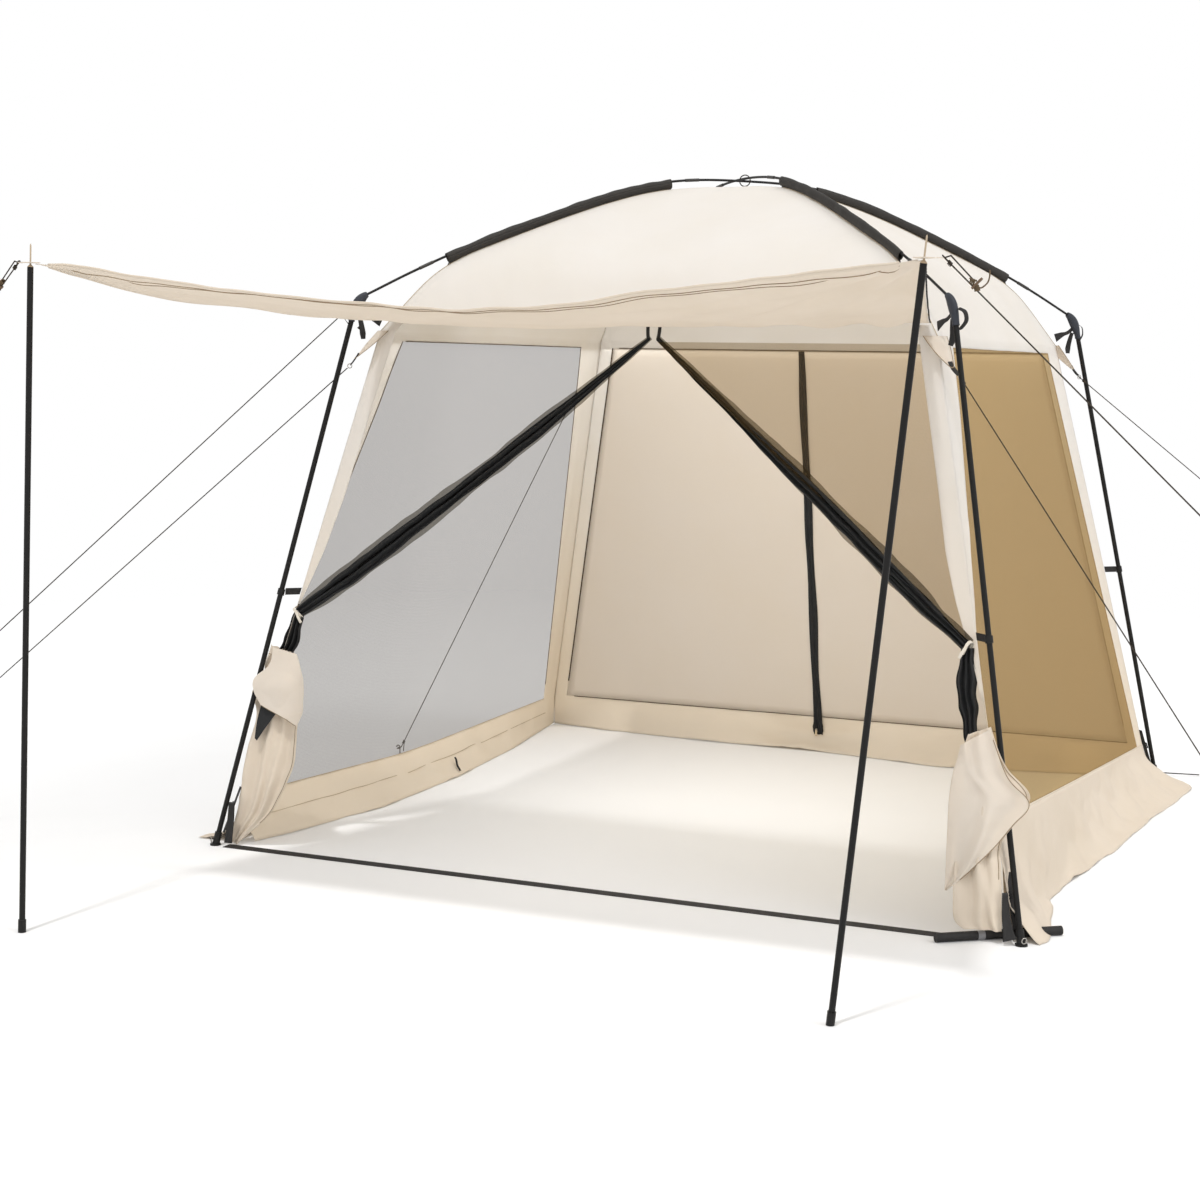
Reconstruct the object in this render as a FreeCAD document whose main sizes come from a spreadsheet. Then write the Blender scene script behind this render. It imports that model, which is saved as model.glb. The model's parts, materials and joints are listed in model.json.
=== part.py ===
import FreeCAD, Part
import math
import os
import Sketcher
from FreeCAD import Vector, Placement, Rotation

# Screen-house shelter on four leaning legs, with crossed roof poles and a raised front awning.
# Frame: +Z up, -Y is the front (awning side), +X is the right side seen from the front.
# Everything is laid out about the centre of the footprint on the ground; the last step
# moves it in Y so that the origin lies on the centre line of the doorway threshold.

os.makedirs("parts", exist_ok=True)
doc = FreeCAD.newDocument("TarpShelter")

# ------------------------------------------------------------------ driving dimensions
DIMENSIONS = [
    ("foot_half", 1500.0),        # half spacing of the leg axes on the ground
    ("elbow_half", 1125.0),       # half spacing of the leg axes at elbow height
    ("elbow_height", 2000.0),     # height of that point
    ("peak_height", 2537.0),      # crossing of the roof poles
    ("eave_height", 1900.0),      # top of the walls
    ("wall_base", 1475.0),        # half width of the fabric at the ground
    ("wall_lean", 0.219),         # inward lean of the fabric walls per unit height
    ("tube_radius", 9.5),         # steel tube, outside
    ("tube_bore", 8.7),           # steel tube, inside
    ("spigot_radius", 8.55),      # swaged end, outside
    ("spigot_bore", 7.75),        # swaged end, inside
    ("spigot_length", 55.0),
    ("leg_first", 535.0),         # exposed length of the leg sections, from the ground up
    ("leg_second", 535.0),
    ("leg_third", 510.0),
    ("leg_fourth", 466.0),
    ("awning_section", 519.7),    # exposed length of the lower awning pole sections
    ("rod_radius", 4.75),         # glass-fibre roof pole
    ("ferrule_radius", 6.3),
    ("ferrule_bore", 5.1),
    ("ferrule_length", 60.0),
    ("fabric", 1.0),              # panel thickness
    ("cap_radius", 13.5),
    ("cap_base_radius", 20.0),
    ("elbow_leg_socket", 9.8),
    ("elbow_rod_socket", 5.1),
    ("ring_major", 8.0),
    ("ring_minor", 1.6),
    ("rope_radius", 2.0),
    ("stake_radius", 3.0),
    ("stake_depth", 170.0),
    ("bar_radius", 15.0),
    ("bar_length", 437.0),
    ("webbing", 25.0),
    ("threshold_width", 50.0),
    ("buckle_width", 34.0),
    ("buckle_height", 26.0),
    ("buckle_thick", 3.5),
    ("zip_width", 32.0),
    ("slider_width", 12.0),
    ("slider_height", 18.0),
    ("slider_thick", 5.0),
    ("pull_width", 8.0),
    ("pull_length", 30.0),
    ("pull_thick", 1.6),
    ("runner_length", 36.0),
    ("runner_width", 13.0),
    ("runner_thick", 6.0),
    ("awning_tip_x", 1400.0),
    ("awning_tip_y", 2640.0),
    ("awning_tip_z", 2083.0),
    ("awning_sag", 129.0),
    ("spike_radius", 2.5),
    ("grommet_bore", 4.5),
    ("grommet_radius", 9.0),
    ("threshold_middle", 1495.5), # distance from the footprint centre to the threshold
]
sheet = doc.addObject("Spreadsheet::Sheet", "Dimensions")
for row, (alias, value) in enumerate(DIMENSIONS, 1):
    sheet.set("A%d" % row, alias)
    sheet.set("B%d" % row, repr(value))
    sheet.setAlias("B%d" % row, alias)
doc.recompute()


def size(alias):
    return float(getattr(sheet, alias))


class Bound:
    """A value together with the expression that drives it."""

    def __init__(self, value, text):
        self.value = float(value)
        self.text = text

    @staticmethod
    def of(other):
        return other if isinstance(other, Bound) else Bound(other, repr(float(other)))

    def join(self, other, sign, combine):
        other = Bound.of(other)
        text = "(%s %s %s)" % (self.text, sign, other.text)
        return Bound(combine(self.value, other.value), text)

    def __add__(self, other):
        return self.join(other, "+", lambda a, b: a + b)

    def __sub__(self, other):
        return self.join(other, "-", lambda a, b: a - b)

    def __truediv__(self, other):
        return self.join(other, "/", lambda a, b: a / b)

    def __neg__(self):
        return Bound(-self.value, "(-1 * %s)" % self.text)

    def drives(self, obj, path):
        """Set the expression on a property path, if the value comes from the sheet."""
        if "Dimensions" in self.text:
            obj.setExpression(path, self.text)


def driven(alias):
    return Bound(size(alias), "Dimensions." + alias)


# ------------------------------------------------------------------ document objects
nodes = []    # the objects that are written out


def node(obj, label):
    obj.Label = label
    nodes.append(obj)
    return obj


def feature(label, shape):
    """A sub-part whose shape is set directly, with its sizes read from the sheet."""
    obj = doc.addObject("Part::Feature", label)
    obj.Shape = shape
    obj.Placement = Placement()
    return node(obj, label)


def bind(obj, **values):
    for prop, value in values.items():
        value = Bound.of(value)
        setattr(obj, prop, value.value)
        value.drives(obj, prop)


def along(point, direction):
    """Placement that carries the local +Z axis to a direction at a point."""
    return Placement(point, Rotation(Vector(0, 0, 1), direction))


def cylinder(name, radius, height, place):
    obj = doc.addObject("Part::Cylinder", name)
    bind(obj, Radius=radius, Height=height)
    obj.Placement = place
    return obj


def torus(name, major, minor, place):
    obj = doc.addObject("Part::Torus", name)
    bind(obj, Radius1=major, Radius2=minor)
    obj.Placement = place
    return obj


def boolean(kind, name, base, tool):
    obj = doc.addObject("Part::" + kind, name)
    obj.Base = base
    obj.Tool = tool
    return obj


def compound(label, members):
    obj = doc.addObject("Part::Compound", label)
    obj.Links = members
    return node(obj, label)


# ------------------------------------------------------------------ PartDesign helpers
def plane(body, role):
    return [item for item in body.Origin.OriginFeatures if item.Role == role][0]


def attach(obj, body, role="XY_Plane"):
    obj.AttachmentSupport = [(plane(body, role), "")]
    obj.MapMode = "FlatFace"


def dimension(sketch, value, kind, *where):
    index = sketch.addConstraint(Sketcher.Constraint(kind, *where, value.value))
    value.drives(sketch, "Constraints[%d]" % index)


def outline(body, name, points, role="XY_Plane", circles=()):
    """A sketch of one closed polygon (and any circles), each vertex bound to the sheet."""
    sketch = body.newObject("Sketcher::SketchObject", name)
    attach(sketch, body, role)
    corners = [(Bound.of(x), Bound.of(y)) for x, y in points]
    count = len(corners)
    for i in range(count):
        start, end = [Vector(x.value, y.value, 0) for x, y in
                      (corners[i], corners[(i + 1) % count])]
        sketch.addGeometry(Part.LineSegment(start, end), False)
    for i in range(count):
        sketch.addConstraint(Sketcher.Constraint("Coincident", i, 2, (i + 1) % count, 1))
    for i, (x, y) in enumerate(corners):
        dimension(sketch, x, "DistanceX", -1, 1, i, 1)
        dimension(sketch, y, "DistanceY", -1, 1, i, 1)
    for circle in circles:
        x, y, radius = [Bound.of(item) for item in circle]
        ring = Part.Circle(Vector(x.value, y.value, 0), Vector(0, 0, 1), radius.value)
        index = sketch.addGeometry(ring, False)
        dimension(sketch, x, "DistanceX", -1, 1, index, 3)
        dimension(sketch, y, "DistanceY", -1, 1, index, 3)
        dimension(sketch, radius, "Radius", index)
    return sketch


def new_body(name):
    return doc.addObject("PartDesign::Body", name)


def revolved(name, points):
    """Profile in radius and height, turned about the local Z axis."""
    body = new_body(name)
    sketch = outline(body, name + "_profile", points, "XZ_Plane")
    turned = body.newObject("PartDesign::Revolution", name + "_turn")
    turned.Profile = sketch
    turned.ReferenceAxis = (sketch, ["V_Axis"])
    turned.Angle = 360.0
    doc.recompute()
    return body


def padded(name, points, length, circles=()):
    body = new_body(name)
    sketch = outline(body, name + "_outline", points, circles=circles)
    pad = body.newObject("PartDesign::Pad", name + "_pad")
    pad.Profile = sketch
    bind(pad, Length=length)
    doc.recompute()
    return body


# ------------------------------------------------------------------ geometry helpers
ROOT2 = math.sqrt(2.0)
# name, sign of X, sign of Y
CORNERS = [
    ("front_left", -1, -1), ("front_right", 1, -1), ("rear_right", 1, 1), ("rear_left", -1, 1),
]


def unit(*direction):
    vector = Vector(*direction)
    vector.normalize()
    return vector


def corner_point(sx, sy, reach, z, lateral=0.0):
    """Point at a reach along a corner diagonal, a height, and an anticlockwise offset."""
    ox, oy = sx / ROOT2, sy / ROOT2
    return Vector(ox * reach - oy * lateral, oy * reach + ox * lateral, z)


def about_z(degrees, point=Vector(0, 0, 0)):
    return Placement(point, Rotation(Vector(0, 0, 1), degrees))


def corner_turn(sx, sy):
    return about_z(math.degrees(math.atan2(sy, sx)))


def axes(x_axis, y_axis, z_axis, origin):
    """Matrix that carries the local axes to the given ones at an origin."""
    columns = (x_axis, y_axis, z_axis, origin)
    rows = [[getattr(column, name) for column in columns] for name in "xyz"]
    return FreeCAD.Matrix(*rows[0], *rows[1], *rows[2], 0, 0, 0, 1)


def placed(shape, place):
    out = shape.copy()
    out.transformShape(place.toMatrix(), True)
    return out


def four(shape):
    """Four copies of a shape made in the local diagonal frame (+X outward, +Z up)."""
    return Part.makeCompound([placed(shape, corner_turn(sx, sy)) for _, sx, sy in CORNERS])


def prism(points, thickness):
    """Flat panel of a thickness centred on the plane of its outline."""
    corners = [Vector(*point) for point in points]
    normal = unit((corners[1] - corners[0]).cross(corners[2] - corners[0]))
    half = normal * (thickness / 2.0)
    base = [corner - half for corner in corners]
    face = Part.Face(Part.makePolygon(base + [base[0]]))
    return face.extrude(normal * thickness)


def level_panel(points, z, thickness):
    return prism([(x, y, z) for x, y in points], thickness)


def rod(points, radius):
    """Round bar along a chain of points, with ball joints at the bends."""
    out = None
    for start, end in zip(points, points[1:]):
        piece = Part.makeCylinder(radius, (end - start).Length, start, end - start)
        out = piece if out is None else out.fuse(piece)
    for point in points[1:-1]:
        out = out.fuse(Part.makeSphere(radius, point))
    return out.removeSplitter()


def natural_cubic(xs, ys):
    """Natural cubic spline through the given stations, as a function of x."""
    last = len(xs) - 1
    step = [xs[i + 1] - xs[i] for i in range(last)]
    load = [0.0] * (last + 1)
    for i in range(1, last):
        load[i] = 3.0 * ((ys[i + 1] - ys[i]) / step[i] - (ys[i] - ys[i - 1]) / step[i - 1])
    # forward pass of the tridiagonal system
    ratio, partial = [0.0] * (last + 1), [0.0] * (last + 1)
    for i in range(1, last):
        pivot = 2.0 * (xs[i + 1] - xs[i - 1]) - step[i - 1] * ratio[i - 1]
        ratio[i] = step[i] / pivot
        partial[i] = (load[i] - step[i - 1] * partial[i - 1]) / pivot
    # back substitution for the coefficients of each span
    square = [0.0] * (last + 1)
    linear, cube = [0.0] * last, [0.0] * last
    for i in range(last - 1, -1, -1):
        square[i] = partial[i] - ratio[i] * square[i + 1]
        rise = (ys[i + 1] - ys[i]) / step[i]
        linear[i] = rise - step[i] * (square[i + 1] + 2.0 * square[i]) / 3.0
        cube[i] = (square[i + 1] - square[i]) / (3.0 * step[i])

    def height(x):
        i = 0
        while i < last - 1 and x > xs[i + 1]:
            i += 1
        run = x - xs[i]
        return ys[i] + linear[i] * run + square[i] * run * run + cube[i] * run ** 3

    return height


def mirrored_cubic(stations):
    """Spline through (distance, height) stations and their mirror images about zero."""
    mirror = [(-distance, height) for distance, height in reversed(stations[1:])]
    distances, heights = zip(*(mirror + stations))
    return natural_cubic(distances, heights)


def curve(points):
    spline = Part.BSplineCurve()
    spline.interpolate(points)
    return spline.toShape()


def sweep(points, section):
    return Part.Wire([curve(points)]).makePipeShell([section], True, False)


def round_sweep(points, radius):
    circle = Part.makeCircle(radius, points[0], points[1] - points[0])
    return sweep(points, Part.Wire([circle]))


def ellipse_wire(center, normal, major_dir, major, minor):
    ellipse = Part.Ellipse()
    ellipse.Center = Vector(0, 0, 0)
    ellipse.MajorRadius = major
    ellipse.MinorRadius = minor
    wire = Part.Wire([ellipse.toShape()])
    x_axis, z_axis = unit(major_dir), unit(normal)
    wire.transformShape(axes(x_axis, z_axis.cross(x_axis), z_axis, center), True)
    return wire


# ------------------------------------------------------------------ main lines of the frame
# "Reach" is the distance from the centre along a corner diagonal.
foot_reach = size("foot_half") * ROOT2
elbow_reach = size("elbow_half") * ROOT2
leg_dir = unit(elbow_reach - foot_reach, 0, size("elbow_height"))
foot_point = Vector(foot_reach, 0, 0)


def leg_reach(z):
    return foot_reach + (elbow_reach - foot_reach) * z / size("elbow_height")


def wall_half(z):
    return size("wall_base") - size("wall_lean") * z


peak = size("peak_height")
# roof pole: reach, height
pole_z = mirrored_cubic([
    (0.0, peak), (321.0, peak - 21), (565.7, peak - 80), (792.0, peak - 159),
    (1025.3, peak - 249), (1236.0, peak - 340), (1418.5, peak - 427),
    (1545.0, 2045.0), (1576.0, 2029.5),
])

# ------------------------------------------------------------------ legs
bore, outside = driven("tube_bore"), driven("tube_radius")
spigot_outside, spigot_bore = driven("spigot_radius"), driven("spigot_bore")
spigot_length = driven("spigot_length")
TUBE_GAP = 0.3       # between the exposed lengths of neighbouring sections
LEG_START = 10.0     # bottom of the lowest section, along the leg axis
SOCKET_PLAY = 0.15   # radial clearance between a tube and what it plugs into


def swaged(name, length):
    """Tube with a narrowed spigot at its top."""
    return revolved(name, [
        (bore, 0), (outside, 0), (outside, length - 3), (outside - 0.6, length),
        (spigot_outside, length), (spigot_outside, length + spigot_length),
        (spigot_bore, length + spigot_length), (spigot_bore, length - 6), (bore, length - 9),
    ])


def plain(name, length):
    return revolved(name, [(bore, 0), (outside, 0), (outside, length), (bore, length)])


# label, body name, length alias, kind of tube; from the ground up
LEG_SECTIONS = [
    ("leg_sections_lower", "leg_tube_bottom", "leg_first", swaged),
    ("leg_sections_lower", "leg_tube_lower_middle", "leg_second", swaged),
    ("leg_sections_upper", "leg_tube_upper_middle", "leg_third", swaged),
    ("leg_sections_top", "leg_tube_top", "leg_fourth", plain),
]
start = LEG_START
leg_parts = {}
for label, name, alias, tube in LEG_SECTIONS:
    body = tube(name, driven(alias))
    section = placed(body.Shape, along(foot_point + leg_dir * start, leg_dir))
    leg_parts.setdefault(label, []).extend(four(section).Solids)
    start += size(alias) + TUBE_GAP
for label, solids in leg_parts.items():
    feature(label, Part.makeCompound(solids))

# ------------------------------------------------------------------ foot caps and rings
# cap: a flat round pad with a slanted socket, trimmed at the ground
cap_pad = cylinder("foot_cap_pad", driven("cap_base_radius"), 6,
                   Placement(foot_point, Rotation()))
cap_socket = cylinder("foot_cap_socket", driven("cap_radius"), 48,
                      along(foot_point + leg_dir * 2, leg_dir))
cap_whole = boolean("Fuse", "foot_cap_whole", cap_pad, cap_socket)
cap_bore = cylinder("foot_cap_bore", outside + SOCKET_PLAY, 60,
                    along(foot_point + leg_dir * 9.7, leg_dir))
cap_open = boolean("Cut", "foot_cap_open", cap_whole, cap_bore)
ground_box = doc.addObject("Part::Box", "below_ground")
ground_box.Length, ground_box.Width, ground_box.Height = 120, 120, 40
ground_box.Placement = Placement(Vector(foot_reach - 60, -60, -40), Rotation())
cap = boolean("Cut", "foot_cap_shape", cap_open, ground_box)
doc.recompute()

# rings and the pins they hang on, at the outer side of each foot
PIN_Z, RING_Z = 24, 18.7
pins, rings = [], []
for name, sx, sy in CORNERS:
    outward = corner_point(sx, sy, 1, 0)
    pin_base = corner_point(sx, sy, leg_reach(PIN_Z) + 11.5, PIN_Z)
    ring_centre = corner_point(sx, sy, leg_reach(PIN_Z) + 22.0, RING_Z)
    pins.append(cylinder("foot_pin_" + name, 2.0, 16, along(pin_base, outward)))
    rings.append(torus("foot_ring_" + name, driven("ring_major") + 1.0,
                       driven("ring_minor"), along(ring_centre, outward)))
doc.recompute()
feature("foot_caps", Part.makeCompound([
    placed(cap.Shape, corner_turn(sx, sy)).fuse(pin.Shape).removeSplitter()
    for pin, (_, sx, sy) in zip(pins, CORNERS)]))
compound("foot_rings", rings)

# ------------------------------------------------------------------ elbow connectors
# The centre line is a quadratic arc from the leg axis to the roof pole; its control
# point is where the two axes meet.
elbow_low = foot_point + leg_dir * (1945.0 / leg_dir.z)
elbow_high = Vector(1545.0, 0, 2045.0)
rod_dir = unit(-0.895, 0, 0.446)
span = elbow_high - elbow_low
to_meeting = ((span.z * rod_dir.x - span.x * rod_dir.z)
              / (leg_dir.z * rod_dir.x - leg_dir.x * rod_dir.z))
elbow_control = elbow_low + leg_dir * to_meeting

# place along the arc, radius in the plane of the bend, radius across it
ELBOW_SECTIONS = [
    (0.0, 12.6, 12.6), (0.18, 14.5, 13.0), (0.5, 21.0, 13.5), (0.82, 15.5, 11.5), (1.0, 10.5, 9.5),
]


def elbow_place(along_arc):
    back = 1 - along_arc
    point = (elbow_low * (back ** 2) + elbow_control * (2 * along_arc * back)
             + elbow_high * (along_arc * along_arc))
    tangent = unit((elbow_control - elbow_low) * back
                   + (elbow_high - elbow_control) * along_arc)
    angle = math.degrees(math.atan2(tangent.x, tangent.z))
    return Placement(point, Rotation(Vector(0, 1, 0), angle))


elbow = new_body("elbow_body")
sections = []
for i, (along_arc, wide, narrow) in enumerate(ELBOW_SECTIONS):
    sketch = elbow.newObject("Sketcher::SketchObject", "elbow_section_%d" % i)
    attach(sketch, elbow)
    sketch.AttachmentOffset = elbow_place(along_arc)
    if wide > narrow:
        oval = Part.Ellipse(Vector(wide, 0, 0), Vector(0, narrow, 0), Vector(0, 0, 0))
    else:
        oval = Part.Circle(Vector(0, 0, 0), Vector(0, 0, 1), wide)
    sketch.addGeometry(oval, False)
    sections.append(sketch)
loft = elbow.newObject("PartDesign::AdditiveLoft", "elbow_loft")
loft.Profile = sections[0]
loft.Sections = sections[1:]
doc.recompute()
BORE_LEAD = 5    # the bores start this far outside the ends
for name, radius, base, direction, depth in (
    ("elbow_leg_bore", "elbow_leg_socket", elbow_low - leg_dir * BORE_LEAD, leg_dir, 49),
    ("elbow_rod_bore", "elbow_rod_socket", elbow_high + rod_dir * BORE_LEAD, rod_dir * -1, 36),
):
    socket = elbow.newObject("PartDesign::SubtractiveCylinder", name)
    attach(socket, elbow)
    socket.AttachmentOffset = along(base, direction)
    bind(socket, Radius=driven(radius), Height=BORE_LEAD + depth)
    doc.recompute()
feature("elbow_connectors", four(elbow.Shape))

# two webbing straps below each elbow: one inward, one hanging
STRAP_THICK = 1.5
inner_strap = prism([(1571.5, -10, 1983), (1571.5, 10, 1983), (1484, 12, 1942),
                     (1484, -12, 1942)], STRAP_THICK)
hanging_strap = prism([(1571.2, -10, 1958), (1571.2, 10, 1958), (1556, 10, 1876),
                       (1556, -10, 1876)], STRAP_THICK)
feature("elbow_straps", Part.makeCompound([
    placed(strap, corner_turn(sx, sy))
    for _, sx, sy in CORNERS for strap in (inner_strap, hanging_strap)]))

# ------------------------------------------------------------------ roof poles
POLE_END = 1573.0
CROSSING_LIFT = 5.1      # each pole passes this far above or below the common line
LIFT_SPREAD = 260.0      # reach over which the lift dies away


def pole_point(reach, lift, drop=0.0):
    bump = lift * math.exp(-(reach / LIFT_SPREAD) ** 2)
    return Vector(reach, 0, pole_z(reach) - drop + bump)


def pole_points(lift, low, high, count, drop=0.0):
    return [pole_point(low + (high - low) * i / (count - 1), lift, drop) for i in range(count)]


def corner_lift(sx, sy):
    """The lower pole runs from front left to rear right, the upper one across it."""
    return -CROSSING_LIFT if sx * sy > 0 else CROSSING_LIFT


for label, lift, heading in (("roof_pole_lower", -CROSSING_LIFT, 45),
                             ("roof_pole_upper", CROSSING_LIFT, 135)):
    pole = round_sweep(pole_points(lift, -POLE_END, POLE_END, 41), size("rod_radius"))
    feature(label, placed(pole, about_z(heading)))

ferrule_bore, ferrule_outside = driven("ferrule_bore"), driven("ferrule_radius")
ferrule_length = driven("ferrule_length")
ferrule = revolved("ferrule_tube", [
    (ferrule_bore, 0), (ferrule_outside - 0.6, 0), (ferrule_outside, 2),
    (ferrule_outside, ferrule_length - 2), (ferrule_outside - 0.6, ferrule_length),
    (ferrule_bore, ferrule_length),
])
FERRULE_REACHES = (200.0, 1290.0)
FERRULE_CHORD = 54.0     # reach over which the pole's direction is taken
ferrules = []
for _, sx, sy in CORNERS:
    lift = corner_lift(sx, sy)
    for reach in FERRULE_REACHES:
        base = pole_point(reach, lift)
        heading = pole_point(reach + FERRULE_CHORD, lift) - base
        ferrules.append(placed(placed(ferrule.Shape, along(base, heading)), corner_turn(sx, sy)))
feature("roof_pole_ferrules", Part.makeCompound(ferrules))

PEAK_RING_MAJOR, PEAK_RING_MINOR = 22.0, 2.2
node(torus("peak_ring", PEAK_RING_MAJOR, PEAK_RING_MINOR,
           Placement(Vector(0, 0, peak - 3.0), Rotation(Vector(1, 0, 0), 90))), "peak_tie_ring")

# ------------------------------------------------------------------ roof: four gores
# distance from the centre square to the eave, height
gore_z = mirrored_cubic([
    (0.0, 2502.0), (120.0, 2498.0), (227.0, 2484.0), (400.0, 2425.0), (560.0, 2346.0),
    (725.0, 2256.0), (845.0, 2182.0), (925.0, 2104.0), (985.0, 2018.0),
    (1062.0, size("eave_height")),
])
GORE_THICK = 1.6
GORE_HALF = 1300     # half width of the sheet before it is trimmed
GORE_INSET = 0.6     # of the trimming wedge's apex from the centre
WEDGE = 1400         # depth and half width of the wedge


def gore(low_edge):
    """Roof quarter on the front side, a sheet curved from eave to peak between the ridges."""
    distances = [low_edge * i / 24.0 for i in range(25)]
    top = [Vector(-GORE_HALF, -distance, gore_z(distance)) for distance in distances]
    under = [point - Vector(0, 0, GORE_THICK) for point in top]
    edges = [curve(top), Part.makeLine(top[-1], under[-1]),
             curve(list(reversed(under))), Part.makeLine(under[0], top[0])]
    slab = Part.Face(Part.Wire(edges)).extrude(Vector(2 * GORE_HALF, 0, 0))
    apex = Vector(0, -GORE_INSET, 1700)
    left, right = [apex + Vector(s * WEDGE, -WEDGE, 0) for s in (-1, 1)]
    wedge = Part.Face(Part.makePolygon([apex, left, right, apex]))
    return slab.common(wedge.extrude(Vector(0, 0, 1000)))


full_gore = gore(1061.0)
feature("roof_gore_front", gore(1022.0))
for side, heading in (("right", 90), ("rear", 180), ("left", -90)):
    feature("roof_gore_" + side, placed(full_gore, about_z(heading)))


def sleeve(lift):
    """Upright oval tube along a ridge, with a round bore for the pole."""
    path = pole_points(lift, 321.0, 1236.0, 24, drop=10.0)
    heading = path[1] - path[0]
    upright = Vector(heading.z, 0, -heading.x)
    outer = sweep(path, ellipse_wire(path[0], heading, upright, 18.5, 11.0))
    return outer.cut(round_sweep(pole_points(lift, 300.0, 1257.0, 24), 6.0))


feature("pole_sleeves", Part.makeCompound([
    placed(sleeve(corner_lift(sx, sy)), corner_turn(sx, sy)) for _, sx, sy in CORNERS]))

# corner flaps of the roof, with webbing tabs and rings
flap = prism([(1517, -34, 1888), (1517, 34, 1888), (1585, 7, 1811), (1585, -7, 1811)], 1.4)
# side of each leg on which the guy line passes: 1 is anticlockwise seen from above
GUY_SIDE = {"front_left": -1, "front_right": 1, "rear_right": -1, "rear_left": 1}
TAB_HALF, TAB_SHIFT = 6, 18    # half width, sideways run from top to bottom
tabs, tab_rings, ring_at = [], [], {}
for name, sx, sy in CORNERS:
    shift = TAB_SHIFT * GUY_SIDE[name]
    tabs.append(prism([
        corner_point(sx, sy, 1586.5, 1809, -TAB_HALF),
        corner_point(sx, sy, 1586.5, 1809, TAB_HALF),
        corner_point(sx, sy, 1600, 1789, TAB_HALF + shift),
        corner_point(sx, sy, 1600, 1789, -TAB_HALF + shift)], 2.0))
    ring_at[name] = corner_point(sx, sy, 1605.5, 1779.5, 21 * GUY_SIDE[name])
    tab_rings.append(torus("roof_ring_" + name, driven("ring_major"), driven("ring_minor"),
                           along(ring_at[name], corner_point(sx, sy, 0, 0, 1))))
feature("roof_corner_flaps", Part.makeCompound(four(flap).Solids + tabs))
compound("roof_corner_rings", tab_rings)

# ------------------------------------------------------------------ walls
FABRIC = size("fabric")
EAVE = size("eave_height")
# outward direction of each wall in X and Y
WALLS = {"front": (0, -1), "rear": (0, 1), "left": (-1, 0), "right": (1, 0)}


def wall_point(side, run, z, outward=0.0):
    """Point on a wall: run is along +X or +Y."""
    nx, ny = WALLS[side]
    half_width = wall_half(z) + outward
    return Vector(nx * half_width, run, z) if nx else Vector(run, ny * half_width, z)


def wall_panel(side, points, outward=0.0, thickness=FABRIC):
    return prism([wall_point(side, run, z, outward) for run, z in points], thickness)


COLUMN_LOW, COLUMN_HIGH = 36.0, EAVE - 3.0
WINDOW_TOP = EAVE - 24.0
END_COLUMN = 65.0                              # column width on the front and rear walls
SIDE_COLUMN_HIGH, SIDE_COLUMN_LOW = 228.0, 130.0   # on the side walls, top and bottom
GAP = 1.0                                      # between neighbouring panels


def column_leaf(side, sign, low_width, high_width):
    low, high = wall_half(COLUMN_LOW), wall_half(COLUMN_HIGH)
    return wall_panel(side, [
        (sign * low, COLUMN_LOW), (sign * high, COLUMN_HIGH),
        (sign * (high - high_width), COLUMN_HIGH), (sign * (low - low_width), COLUMN_LOW)])


columns = {"front": [], "rear": []}
for name, sx, sy in CORNERS:
    side_x = "right" if sx > 0 else "left"
    side_y = "rear" if sy > 0 else "front"
    end_leaf = column_leaf(side_y, sx, END_COLUMN, END_COLUMN)
    side_leaf = column_leaf(side_x, sy, SIDE_COLUMN_LOW, SIDE_COLUMN_HIGH)
    columns[side_y].append(end_leaf.fuse(side_leaf).removeSplitter())
for side, solids in columns.items():
    feature("corner_columns_" + side, Part.makeCompound(solids))


def side_edge(z):
    """Edge of the panels between the columns of a side wall."""
    rise = (z - COLUMN_LOW) / (COLUMN_HIGH - COLUMN_LOW)
    width = SIDE_COLUMN_LOW + (SIDE_COLUMN_HIGH - SIDE_COLUMN_LOW) * rise
    return wall_half(z) - width - GAP


def rear_edge(z):
    return wall_half(z) - END_COLUMN - GAP


def between(edge, low, high, bottom=None):
    """Outline between two columns; bottom lowers the lower edge without widening it."""
    bottom = low if bottom is None else bottom
    return [(-edge(low), bottom), (edge(low), bottom), (edge(high), high), (-edge(high), high)]


# eave bands between the columns, above the windows
feature("eave_bands", Part.makeCompound([
    wall_panel(side, between(edge, WINDOW_TOP, COLUMN_HIGH))
    for side, edge in (("left", side_edge), ("right", side_edge), ("rear", rear_edge))]))

# hems: left and rear of even height, the right one rises towards the front
HEM_BOTTOM, HEM_TOP, HEM_FRONT_TOP = 4.0, 150.0, 330.0
feature("wall_hems", Part.makeCompound([
    wall_panel("left", between(side_edge, COLUMN_LOW, HEM_TOP, HEM_BOTTOM)),
    wall_panel("right", [
        (-side_edge(COLUMN_LOW) + 60, HEM_BOTTOM), (side_edge(COLUMN_LOW), HEM_BOTTOM),
        (side_edge(HEM_TOP), HEM_TOP), (-side_edge(HEM_FRONT_TOP), HEM_FRONT_TOP)]),
    wall_panel("rear", between(rear_edge, COLUMN_LOW, HEM_TOP, HEM_BOTTOM)),
]))

# large panels between the hems and the eave bands
low, low_front, high = HEM_TOP + GAP, HEM_FRONT_TOP + GAP, WINDOW_TOP - GAP
feature("window_mesh_left", wall_panel("left", between(side_edge, low, high)))
feature("window_mesh_right", wall_panel("right", [
    (-side_edge(low_front), low_front), (side_edge(low), low),
    (side_edge(high), high), (-side_edge(high), high)]))
feature("rear_sun_panel", wall_panel("rear", between(rear_edge, low, high)))

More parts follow.
